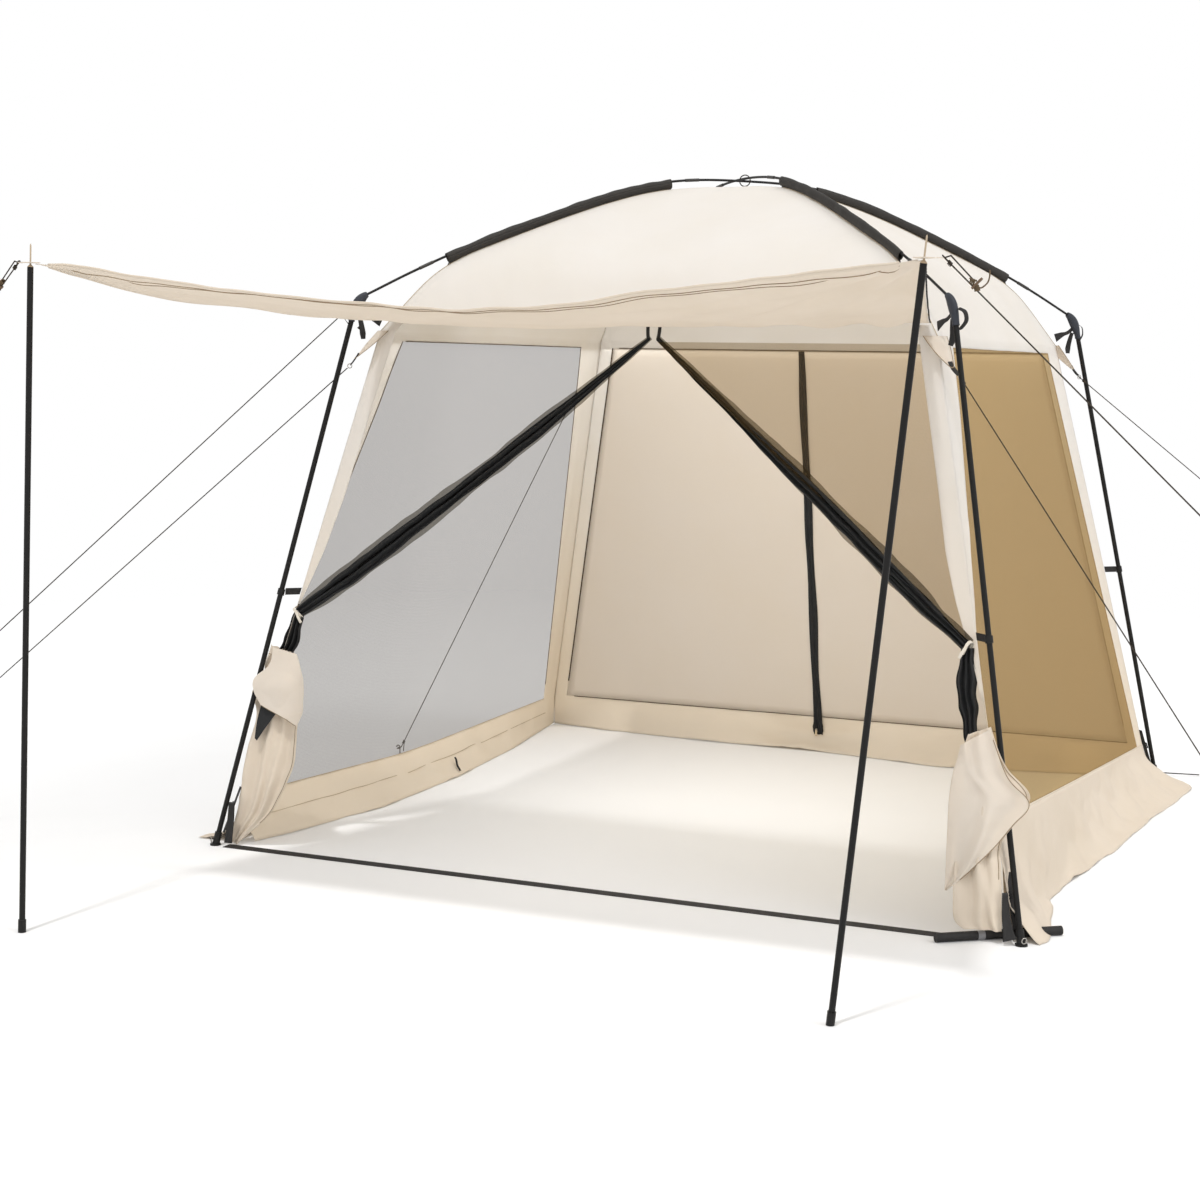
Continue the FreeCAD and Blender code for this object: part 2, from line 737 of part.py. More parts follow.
# ground skirts outside the right, left and rear walls: x, y
SKIRTS = [
    [(1482, -1290), (1530, -1290), (1545, -700), (1572, 0),
     (1655, 1080), (1660, 1300), (1560, 1430), (1482, 1430)],
    [(-1482, -1430), (-1600, -1425), (-1560, -700), (-1570, 0),
     (-1620, 1200), (-1560, 1430), (-1482, 1430)],
    [(-1430, 1482), (-1430, 1560), (-1200, 1630), (0, 1590),
     (1200, 1630), (1430, 1560), (1430, 1482)],
]
feature("ground_skirts", Part.makeCompound([level_panel(skirt, 1.8, FABRIC) for skirt in SKIRTS]))

threshold_y, threshold_half = -size("threshold_middle"), size("threshold_width") / 2
THRESHOLD_LEFT, THRESHOLD_RIGHT = -1456, 1238
feature("threshold_webbing", level_panel([
    (THRESHOLD_LEFT, threshold_y - threshold_half),
    (THRESHOLD_RIGHT, threshold_y - threshold_half),
    (THRESHOLD_RIGHT, threshold_y + threshold_half),
    (THRESHOLD_LEFT, threshold_y + threshold_half)], 0.8, 1.6))

# ------------------------------------------------------------------ rear zip
# strip on the inside of the sun panel, with its slider and hanging pull
ZIP_X, ZIP_LOW, ZIP_HIGH = -75.0, 62, WINDOW_TOP - 4
zip_left, zip_right = [ZIP_X + s * size("zip_width") / 2 for s in (-1, 1)]
feature("rear_zip_strip", wall_panel("rear", [
    (zip_left, ZIP_LOW), (zip_right, ZIP_LOW), (zip_right, ZIP_HIGH), (zip_left, ZIP_HIGH)],
    outward=-1.9, thickness=1.2))

slope = unit(0, -size("wall_lean"), 1.0)
inward = unit(0, -1.0, -size("wall_lean"))
half_width, height = driven("slider_width") / 2, driven("slider_height")
slider = padded("zip_slider_block", [
    (-half_width, 0), (half_width, 0), (half_width - 2, height), (-half_width + 2, height)],
    driven("slider_thick"))
slider_at = wall_point("rear", ZIP_X, 74.0) + inward * 3.2
feature("zip_slider", placed(slider.Shape, Placement(
    axes(Vector(1, 0, 0), slope, inward, slider_at))))

half_width, length = driven("pull_width") / 2, driven("pull_length")
pull = padded("zip_pull_plate", [
    (-half_width, 0), (half_width, 0), (half_width + 1.5, length), (-half_width - 1.5, length)],
    driven("pull_thick"), circles=((0, 3.2, 1.5), (0, length - 5.5, 2.6)))
pull_at = slider_at + inward * (size("slider_thick") + 3.9) + slope * 14.0
PULL_TILT = 0.05
feature("zip_pull", placed(pull.Shape, Placement(
    axes(Vector(-1, 0, 0), unit(0, PULL_TILT, -1.0), unit(0, -1.0, -PULL_TILT), pull_at))))

# ------------------------------------------------------------------ front mesh doors, tied back
DOOR_TOP_X = 30.0        # where the doors part at the top


def tie_point(s):
    return Vector(s * 1238, -1240, 900)


for label, s in (("door_mesh_left", -1), ("door_mesh_right", 1)):
    top = Vector(DOOR_TOP_X + s * 16, -1052, 1886)
    waist = tie_point(s)
    end = Vector(s * 1258, -1290, 690)
    upper = Part.makeCone(8, 26, (waist - top).Length, top, waist - top)
    lower = Part.makeCone(24, 15, (end - waist).Length, waist, end - waist)
    feature(label, upper.fuse(lower).fuse(Part.makeSphere(26, waist)).removeSplitter())
compound("door_tie_backs", [
    torus(name, 32.5, 3.0, along(tie_point(s), Vector(s * 0.43, -0.175, -0.80)))
    for s, name in ((-1, "tie_left"), (1, "tie_right"))])

# hanging lower parts of the doors: x, z
DOOR_HEM_THICK = 1.4
DOOR_HEM_LEFT = [
    (-1292, 672), (-1248, 664), (-1208, 540), (-1228, 300),
    (-1345, 24), (-1436, 24), (-1392, 300), (-1338, 560),
]
DOOR_HEM_RIGHT = [
    (1240, 690), (1296, 700), (1396, 560), (1474, 415), (1415, 300),
    (1425, 36), (1300, 36), (1222, 300), (1212, 560),
]
feature("door_hem_left", wall_panel("front", DOOR_HEM_LEFT, outward=-24.0,
                                    thickness=DOOR_HEM_THICK))
feature("door_hem_right", prism([
    (x, -1378.0 - (700.0 - z) * 0.2556, z) for x, z in DOOR_HEM_RIGHT], DOOR_HEM_THICK))


def door_ribbon(middle):
    left, right = middle - 4, middle + 4
    return prism([(left, -1030.5, 1894), (right, -1030.5, 1894),
                  (right, -1027.5, 1948), (left, -1027.5, 1948)], 1.4)


feature("door_top_ribbons", Part.makeCompound([
    door_ribbon(DOOR_TOP_X + offset) for offset in (-22, 22)]))

# ------------------------------------------------------------------ webbing and buckles at the legs
CLIP_Z, CLIP_HEIGHT = 930.0, 24
clip_body = revolved("pole_clip_ring", [
    (9.9, 0), (13.4, 0), (13.4, CLIP_HEIGHT), (9.9, CLIP_HEIGHT)])
feature("leg_clips", four(placed(
    clip_body.Shape, along(foot_point + leg_dir * (CLIP_Z / leg_dir.z), leg_dir))))
strap_top = CLIP_Z + 25
leg_end = leg_reach(CLIP_Z + CLIP_HEIGHT / 2) - 15.2
wall_low, wall_high = [wall_half(z) * ROOT2 + 3.2 for z in (CLIP_Z, strap_top)]
feature("leg_clip_straps", four(prism([
    (wall_low, 0, CLIP_Z), (leg_end, 0, CLIP_Z),
    (leg_end - 2, 0, strap_top), (wall_high, 0, strap_top)], 1.6)))

# webbing sloping down to each foot, with a ladder buckle on it
web_top, web_low = Vector(2026, 0, 214), Vector(2091, 0, 44)
across = Vector(0, size("webbing") / 2, 0)
feature("foot_webbing", four(prism([
    web_top - across, web_top + across, web_low + across, web_low - across], 1.5)))
half_width, height = driven("buckle_width") / 2, driven("buckle_height")
buckle = padded("ladder_buckle", [
    (-half_width, 0), (half_width, 0), (half_width, height), (-half_width, height)],
    driven("buckle_thick"))
BUCKLE_RIM, SLOT_HEIGHT = 4, 6
for i, slot_low in enumerate((5.0, 15.0)):
    slot_high = slot_low + SLOT_HEIGHT
    slot = outline(buckle, "buckle_slot_%d" % i, [
        (-half_width + BUCKLE_RIM, slot_low), (half_width - BUCKLE_RIM, slot_low),
        (half_width - BUCKLE_RIM, slot_high), (-half_width + BUCKLE_RIM, slot_high)])
    pocket = buckle.newObject("PartDesign::Pocket", "buckle_cut_%d" % i)
    pocket.Profile = slot
    pocket.Type = 1    # through all
    pocket.Reversed = True
    doc.recompute()
web_dir = unit(web_top - web_low)
web_out = Vector(web_dir.z, 0, -web_dir.x)
buckle_at = web_low + web_dir * 95 + web_out * 1.3
feature("foot_buckles", four(placed(buckle.Shape, Placement(
    axes(Vector(0, 1, 0), web_dir, web_out, buckle_at)))))

# ------------------------------------------------------------------ ground bar and its band
# round bar lying by the front right foot, with a band let into a groove
bar_radius = driven("bar_radius")
bar_dir = unit(347, 266, 0)
bar_middle = Vector(1418, -1451, size("bar_radius"))


def bar_cylinder(name, radius, length, before_middle):
    return cylinder(name, radius, length, along(bar_middle - bar_dir * before_middle, bar_dir))


bar = bar_cylinder("ground_bar_roll", bar_radius, driven("bar_length"), size("bar_length") / 2)
groove = bar_cylinder("ground_bar_groove", bar_radius + 2, 25, 76)
groove_core = bar_cylinder("ground_bar_core", bar_radius - 2, 25, 76)
groove_ring = boolean("Cut", "ground_bar_ring", groove, groove_core)
node(boolean("Cut", "ground_bar_shape", bar, groove_ring), "ground_bar")
band_outer = bar_cylinder("bar_band_outer", bar_radius - 0.1, 24, 75.5)
band_core = bar_cylinder("bar_band_core", bar_radius - 1.8, 24, 75.5)
node(boolean("Cut", "bar_band_shape", band_outer, band_core), "ground_bar_band")

# ------------------------------------------------------------------ awning
TIP_X, TIP_Y, TIP_Z = [size("awning_tip_" + name) for name in "xyz"]
AWNING_SIDES = ((-1, "left"), (1, "right"))
TIPS = {side: Vector(s * TIP_X, -TIP_Y, TIP_Z) for s, side in AWNING_SIDES}
REAR_HALF, REAR_Y, REAR_Z = 1020.0, -1034.0, 1955.0    # rear edge, at the front eave
FRONT_BOW = 55.0                                       # of the front edge, in plan
MIDDLE_SAG = 42.0                                      # between the rear and front edges


def awning_point(u, v):
    """u from -1 to 1 across, v from 0 at the eave to 1 at the front edge."""
    rear = Vector(u * REAR_HALF, REAR_Y, REAR_Z)
    front = Vector(u * TIP_X, -TIP_Y + FRONT_BOW * (1 - u * u),
                   TIP_Z - size("awning_sag") * (1 - abs(u) ** 1.6))
    point = rear * (1 - v) + front * v
    point.z -= MIDDLE_SAG * math.sin(math.pi * v) * (1 - 0.25 * u * u)
    return point


surface = Part.BSplineSurface()
surface.interpolate([
    [awning_point(-1 + 2 * i / 20.0, j / 10.0) for j in range(11)] for i in range(21)])
panel = surface.toShape().extrude(Vector(0, 0, FABRIC))
for tip in TIPS.values():
    panel = panel.cut(Part.makeCylinder(30, 60, tip - Vector(0, 0, 30)))
feature("awning_panel", panel)

# round edges stop short of the corner patches
hem_points = [awning_point(i / 20.0, 1.0) + Vector(0, -4.6, 0.5) for i in range(-19, 20)]
hem_points = [point for point in hem_points if abs(point.x) < TIP_X - 36]
feature("awning_front_hem", round_sweep(hem_points, 3.5))
zips = []
for s, _ in AWNING_SIDES:
    points = [awning_point(s, i / 12.0) + Vector(s * 4.4, 0, 0.5) for i in range(1, 13)]
    zips.append(round_sweep([point for point in points if point.y > -TIP_Y + 38], 2.5))
feature("awning_zip_edges", Part.makeCompound(zips))

grommets = []
for s, side in AWNING_SIDES:
    outer = cylinder("grommet_outer_%d" % (s + 1), driven("grommet_radius"), 3,
                     Placement(TIPS[side] - Vector(0, 0, 1.5), Rotation()))
    inner = cylinder("grommet_inner_%d" % (s + 1), driven("grommet_bore"), 9,
                     Placement(TIPS[side] - Vector(0, 0, 4.5), Rotation()))
    grommets.append(boolean("Cut", "grommet_%d" % (s + 1), outer, inner))
compound("awning_grommets", grommets)

# top end of the line from the front left elbow
ELBOW_LINE_TOP = corner_point(-1, -1, 1616.0, 1992.0)
# place on the ground, point that the stake holds
STAKES = {
    "upper_front_left": (Vector(-2759, -2490, 0), ELBOW_LINE_TOP),
    "front_left": (Vector(-2946, -1864, 0), ring_at["front_left"]),
    "front_right": (Vector(2562, -1974, 0), ring_at["front_right"]),
    "rear_right": (Vector(3110, 2446, 0), ring_at["rear_right"]),
    "rear_left": (Vector(-1745, 386, 0), ring_at["rear_left"]),
    "awning_left": (Vector(-3560, -2370, 0), TIPS["left"]),
    "awning_right": (Vector(3560, -2370, 0), TIPS["right"]),
    "rear_right_foot": (Vector(1689, 1583, 0), Vector(1500, 1500, 0)),
}


def guy_heading(side):
    """Level direction from an awning tip to its stake."""
    run = STAKES["awning_" + side][0] - TIPS[side]
    return unit(run.x, run.y, 0)


def corner_patch(tip):
    disc = Part.makeCylinder(29.4, 1.6, tip - Vector(0, 0, 0.8))
    return disc.cut(Part.makeCylinder(size("grommet_radius") + 0.4, 6, tip - Vector(0, 0, 3)))


def corner_tab(side):
    heading = guy_heading(side)
    across = Vector(-heading.y, heading.x, 0)
    near, far = TIPS[side] + heading * 31, TIPS[side] + heading * 48
    return prism([near + across * 7, far + across * 6, far - across * 6, near - across * 7], 2.0)


feature("awning_corner_patches", Part.makeCompound(
    [corner_patch(tip) for tip in TIPS.values()] + [corner_tab(side) for side in TIPS]))

# ------------------------------------------------------------------ awning poles
# four sections, foot cap and spike, each pole standing on the ground
POLE_FEET = {"left": Vector(-1386, -2750, 0), "right": Vector(1178, -2518, 0)}
POLE_START = 6.0        # bottom of the lowest tube, along the pole
SPIKE_SHOULDER = 14.0   # from the top of the tubes to the awning tip
SPIKE_PLUG = 30         # length of the spike inside the tube
awning_tube = swaged("awning_tube", driven("awning_section"))
section_pitch = size("awning_section") + TUBE_GAP


def awning_spike(name):
    return revolved(name, [
        (0, 0), (bore - SOCKET_PLAY, 0), (bore - SOCKET_PLAY, SPIKE_PLUG),
        (outside, SPIKE_PLUG + 0.2), (outside - 1.5, 33), (3.2, 38),
        (driven("spike_radius"), 41), (driven("spike_radius"), 96), (0.8, 102), (0, 102),
    ])


def awning_foot(foot, pole_dir):
    """Slanted socket, trimmed at the ground."""
    socket = Part.makeCylinder(12.5, 42, foot - pole_dir * 2, pole_dir)
    socket = socket.cut(Part.makeCylinder(
        size("tube_radius") + SOCKET_PLAY, 60, foot + pole_dir * 5.7, pole_dir))
    return socket.cut(Part.makeBox(80, 80, 20, foot - Vector(40, 40, 20)))


for side, foot in POLE_FEET.items():
    total = (TIPS[side] - foot).Length
    pole_dir = unit(TIPS[side] - foot)
    top_length = total - SPIKE_SHOULDER - POLE_START - 3 * section_pitch
    top_tube = plain("awning_tube_top_" + side, top_length)
    feature("awning_pole_" + side, Part.makeCompound([
        placed(tube.Shape, along(foot + pole_dir * (POLE_START + i * section_pitch), pole_dir))
        for i, tube in enumerate([awning_tube] * 3 + [top_tube])]))
    spike = awning_spike("awning_spike_" + side)
    spike_base = foot + pole_dir * (total - SPIKE_SHOULDER - SPIKE_PLUG)
    feature("awning_pole_spike_" + side, placed(spike.Shape, along(spike_base, pole_dir)))
    feature("awning_pole_foot_" + side, awning_foot(foot, pole_dir))

# ------------------------------------------------------------------ guy lines
ROPE = size("rope_radius")


def stake_end(key):
    return STAKES[key][0] + Vector(0, 0, 26)


def guy_line(key, lead=0.0):
    """Line from what a stake holds, starting after a lead and ending just short of it."""
    top, end = STAKES[key][1], stake_end(key)
    heading = unit(end - top)
    return rod([top + heading * lead, end - heading * 6.0], ROPE)


feature("guy_lines", Part.makeCompound(
    [guy_line("upper_front_left")] + [guy_line(name, 11.5) for name, _, _ in CORNERS]))
# ground strap from the rear right foot to its own stake
feature("rear_foot_ground_strap", rod([
    corner_point(1, 1, 2145, 14), STAKES["rear_right_foot"][0] + Vector(-8, -5, 8)], 2.5))

# runner: a pointed plate with a hole for the line and two more along it
half_width, length = driven("runner_width") / 2, driven("runner_length")
runner = padded("line_runner_plate", [
    (-3.0, -half_width), (length - 9, -half_width), (length - 5, 0),
    (length - 9, half_width), (-3.0, half_width), (-6.5, 0)],
    driven("runner_thick"),
    circles=((0, 0, driven("rope_radius") + 0.08), (12.0, 0, 2.2), (22.0, 0, 2.2)))
for side, tip in TIPS.items():
    top = tip + guy_heading(side) * 51
    end = stake_end("awning_" + side) - Vector(0, 7.0, 0)    # the line ends beside its stake
    heading = unit(end - top)
    upward = unit(heading.cross(Vector(0, 0, 1))).cross(heading)
    line = rod([top, end], ROPE)
    loop = rod([top, top + heading * 8 + upward * 15, top + heading * 96 + upward * 12], ROPE)
    feature("awning_guy_line_" + side, line.fuse(loop).removeSplitter())
    feature("line_runner_" + side, placed(runner.Shape, Placement(
        axes(upward, heading.cross(upward), heading, top + heading * 102))))

# ------------------------------------------------------------------ stakes
STAKE_TIP = 14
STAKE_SETBACK = 4.0    # of the shank behind the stake's place, away from what it holds
depth = size("stake_depth")
stake = rod([Vector(0, 0, -depth), Vector(0, 0, 34), Vector(-10, 0, 42), Vector(-19, 0, 34)],
            size("stake_radius"))
stake_tip = Part.makeCone(0.4, size("stake_radius"), STAKE_TIP,
                          Vector(0, 0, -depth - STAKE_TIP), Vector(0, 0, 1))
stake = stake.fuse(stake_tip).removeSplitter()
pegs = []
for point, target in STAKES.values():
    away = point - target
    # the hook points away from what the stake holds
    angle = math.degrees(math.atan2(away.y, away.x)) + 180.0
    radians = math.radians(angle)
    setback = Vector(math.cos(radians) * -STAKE_SETBACK, math.sin(radians) * -STAKE_SETBACK, 0)
    pegs.append(placed(stake, about_z(angle, point + setback)))
feature("stakes", Part.makeCompound(pegs))

# ------------------------------------------------------------------ move, check and write
doc.recompute()
# origin to the centre line of the doorway threshold
shift = Placement(Vector(0, size("threshold_middle"), 0), Rotation())
for obj in nodes:
    obj.Placement = shift * obj.Placement
doc.recompute()
problems = []
for obj in doc.Objects:
    state = [str(item) for item in obj.State]
    if "Invalid" in state or "Error" in state:
        problems.append("%s: %s" % (obj.Name, state))
for obj in nodes:
    if obj.Shape.isNull() or not obj.Shape.isValid():
        problems.append("%s: bad shape" % obj.Label)
    elif not obj.Shape.Solids:
        problems.append("%s: no solid" % obj.Label)
labels = [obj.Label for obj in nodes]
if len(set(labels)) != len(labels) or len(labels) > 60:
    problems.append("labels: %d" % len(labels))
if problems:
    raise RuntimeError("; ".join(problems))
for obj in nodes:
    obj.Shape.exportStep(os.path.join("parts", obj.Label + ".step"))
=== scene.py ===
# A square canvas shelter on a crossed-pole frame, with an awning stretched from its open front.
# Row frame: metres, +Z up, ground at z = 0, front towards -Y, right towards +X.
# The cloth is designed in millimetres about the centre of the footprint; to_row converts it.
import json
import math
from math import pi, tau

import bpy
import numpy as np
from mathutils import Matrix, Vector


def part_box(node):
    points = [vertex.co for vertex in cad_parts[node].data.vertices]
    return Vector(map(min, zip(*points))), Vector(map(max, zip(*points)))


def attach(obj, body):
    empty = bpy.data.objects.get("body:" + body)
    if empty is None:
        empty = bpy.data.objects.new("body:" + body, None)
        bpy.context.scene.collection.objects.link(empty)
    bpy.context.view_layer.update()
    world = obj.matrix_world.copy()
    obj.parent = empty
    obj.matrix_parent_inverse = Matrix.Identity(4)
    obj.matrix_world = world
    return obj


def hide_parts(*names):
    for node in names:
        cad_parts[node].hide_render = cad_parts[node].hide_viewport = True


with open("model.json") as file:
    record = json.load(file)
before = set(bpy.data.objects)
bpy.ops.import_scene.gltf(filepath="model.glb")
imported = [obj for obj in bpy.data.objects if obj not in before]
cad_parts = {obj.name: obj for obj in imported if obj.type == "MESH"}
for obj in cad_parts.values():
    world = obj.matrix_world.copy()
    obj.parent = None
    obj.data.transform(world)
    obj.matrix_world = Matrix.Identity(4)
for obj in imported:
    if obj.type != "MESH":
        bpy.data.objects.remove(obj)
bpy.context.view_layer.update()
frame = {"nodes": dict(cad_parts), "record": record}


# ---------------------------------------------------------------- main dimensions
foot_low, foot_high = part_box("foot_caps")
CENTRE_Y = (foot_low.y + foot_high.y) / 2.0              # footprint centre, m
LEG_REACH = (foot_high.x - foot_low.x) / 2.0 - 0.020     # leg axis on the ground, m
FOOT_SCALE = LEG_REACH / 1.5                             # against a nominal 1.5 m reach
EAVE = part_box("roof_gore_rear")[0].z * 1000.0
WINDOW_TOP = EAVE - 24.0
FRONT_TOP = 1960.0                                       # roof cloth at the front stops here
HALF_SIDE = 1440.0                                       # scale of the hem tables
WALL_BASE, WALL_LEAN = 1475.0 * FOOT_SCALE, 0.219
ROD_RADIUS = 4.75
CROSS_LIFT = 5.1                       # each roof pole off the mean height where they cross
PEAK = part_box("roof_pole_upper")[1].z * 1000.0 - CROSS_LIFT - ROD_RADIUS
ROOT2 = math.sqrt(2.0)
CORNERS = ((-1, -1), (1, -1), (1, 1), (-1, 1))           # signs of x and y
# outward direction of each side
SIDES = {"front": (0, -1), "right": (1, 0), "rear": (0, 1), "left": (-1, 0)}


def to_row(points):
    """Millimetres about the footprint centre to metres in the row frame."""
    points = np.array(points, float) / 1000.0
    points[..., 1] += CENTRE_Y
    return points


# ---------------------------------------------------------------- shader helpers
def srgb(red, green, blue):
    """Linear colour of an 8-bit sRGB one."""
    def linear(value):
        value = value / 255.0
        return value / 12.92 if value <= 0.04045 else ((value + 0.055) / 1.055) ** 2.4

    return (linear(red), linear(green), linear(blue), 1.0)


class Graph:
    """Adds shader nodes to a tree; add and the helpers built on it return an output socket."""

    def __init__(self, tree):
        self.tree = tree

    def add(self, kind, inputs, out=0, **settings):
        """Inputs given as sockets are linked; others are set as values."""
        node = self.tree.nodes.new("ShaderNode" + kind)
        for key, value in settings.items():
            setattr(node, key, value)
        for key, value in inputs.items():
            if isinstance(value, bpy.types.NodeSocket):
                self.tree.links.new(value, node.inputs[key])
            else:
                node.inputs[key].default_value = value
        return node.outputs[out]

    def noise(self, scale, detail=3.0, rough=0.5):
        return self.add("TexNoise", {"Vector": self.vector, "Scale": scale, "Detail": detail,
                                     "Roughness": rough}, out="Fac")

    def maths(self, operation, first, second):
        return self.add("Math", {0: first, 1: second}, operation=operation)

    def mix(self, factor, first, second):
        return self.add("Mix", {0: factor, 6: first, 7: second}, out=2, data_type="RGBA")

    def mix_shader(self, factor, first, second):
        return self.add("MixShader", {0: factor, 1: first, 2: second})

    def remap(self, value, start=0.0, end=1.0, low=0.0, high=1.0):
        return self.add("MapRange", {"Value": value, "From Min": start, "From Max": end,
                                     "To Min": low, "To Max": high})

    def bump(self, height, strength, distance):
        return self.add("Bump", {"Height": height, "Strength": strength, "Distance": distance})

    def weave(self, pitch):
        """Sum of crossed bands; pitch sets how closely they lie."""
        bands = [self.add("TexWave", {"Vector": self.vector, "Scale": 50.0 / pitch,
                                      "Distortion": 0.15, "Detail": 1.0},
                          out="Fac", wave_type="BANDS", bands_direction=axis) for axis in "XY"]
        return self.maths("ADD", *bands)

    def surface(self, shader):
        output = self.tree.nodes.new("ShaderNodeOutputMaterial")
        self.tree.links.new(shader, output.inputs["Surface"])


def new_material(name, use_uv=True):
    """Empty material and its graph, with a texture vector in UV or object space."""
    material = bpy.data.materials.new(name)
    material.use_nodes = True
    material.node_tree.nodes.clear()
    graph = Graph(material.node_tree)
    place = graph.add("TexCoord", {}, out="UV" if use_uv else "Object")
    graph.vector = graph.add("Mapping", {"Vector": place})
    return material, graph


def cloth(name, colour, dark=0.93, through=0.3, glow=None, rough=0.75, use_uv=True, pitch=1.3,
          crumple=0.0018, low=None):
    """Woven cloth. dark scales the mottling, through is the share of light let through,
    tinted glow, crumple is the bump depth in m, low is the colour towards the ground."""
    material, graph = new_material(name, use_uv)
    colour = srgb(*colour)
    mottle = (colour[0] * dark, colour[1] * dark * 0.99, colour[2] * dark * 0.965, 1.0)
    weave = graph.weave(pitch)
    small = graph.noise(scale=38.0, rough=0.6)
    patches = graph.remap(graph.noise(scale=2.2, detail=4.0, rough=0.55), start=0.35, end=0.65)
    shade = graph.mix(patches, colour, mottle)
    shade = graph.mix(graph.maths("MULTIPLY", weave, 0.05), shade, mottle)
    if low:
        position = graph.add("NewGeometry", {}, out="Position")
        height = graph.add("SeparateXYZ", {"Vector": position}, out="Z")
        shade = graph.mix(graph.remap(height, start=0.35, end=1.5), srgb(*low), shade)
    # threads, fine crumple and broad crumple
    relief = graph.maths("ADD", graph.maths("MULTIPLY", weave, 0.06),
                         graph.maths("MULTIPLY", small, 0.5))
    broad = graph.noise(scale=9.0, detail=4.0, rough=0.6)
    relief = graph.maths("ADD", relief, graph.maths("MULTIPLY", broad, 1.6))
    normal = graph.bump(relief, strength=0.55, distance=crumple)
    shader = graph.add("BsdfPrincipled", {
        "Base Color": shade, "Normal": normal,
        "Roughness": graph.remap(small, low=rough - 0.08, high=rough + 0.12)})
    if through > 0:
        tint = srgb(*glow) if glow else colour
        passing = graph.add("BsdfTranslucent", {"Color": tint, "Normal": normal})
        shader = graph.mix_shader(through, shader, passing)
    graph.surface(shader)
    return material


def tape(name, colour, dark, rough=0.8, pitch=1.0):
    """Opaque woven tape or cord, textured in object space."""
    return cloth(name, colour, dark=dark, through=0.0, rough=rough, use_uv=False, pitch=pitch)


def net(name, thread, cover, tint, vary=0.03):
    """Fine net: cover is the share of thread, tint colours what is seen through the gaps."""
    material, graph = new_material(name)
    grid = graph.maths("MULTIPLY", graph.weave(pitch=2.2), 0.5)
    grid = graph.maths("MULTIPLY", graph.maths("SUBTRACT", grid, 0.5), 0.02)
    uneven = graph.maths("SUBTRACT", graph.noise(scale=3.0), 0.5)
    share = graph.maths("ADD", graph.maths("ADD", grid, cover),
                        graph.maths("MULTIPLY", uneven, vary))
    clear = graph.add("BsdfTransparent", {"Color": tint})
    threads = graph.add("BsdfDiffuse", {"Color": thread, "Roughness": 0.8})
    graph.surface(graph.mix_shader(share, clear, threads))
    return material


def solid(name, colour, rough, grain, depth, metallic=0.0, vary=0.25, shine=0.5):
    """Plastic, paint or metal: grain is the noise scale, depth its bump in m."""
    material, graph = new_material(name, use_uv=False)
    colour = srgb(*colour)
    light = tuple(min(1.0, c * (1 + vary) + 0.004) for c in colour[:3]) + (1.0,)
    coarse = graph.noise(scale=grain, detail=4.0, rough=0.6)
    fine = graph.noise(scale=grain * 6.0, detail=2.0)
    graph.surface(graph.add("BsdfPrincipled", {
        "Base Color": graph.mix(coarse, colour, light),
        "Metallic": metallic,
        "Roughness": graph.remap(fine, low=max(0.05, rough - 0.1), high=min(1.0, rough + 0.1)),
        "Specular IOR Level": shine,
        "Normal": graph.bump(graph.maths("ADD", coarse, fine), strength=0.25, distance=depth)}))
    return material


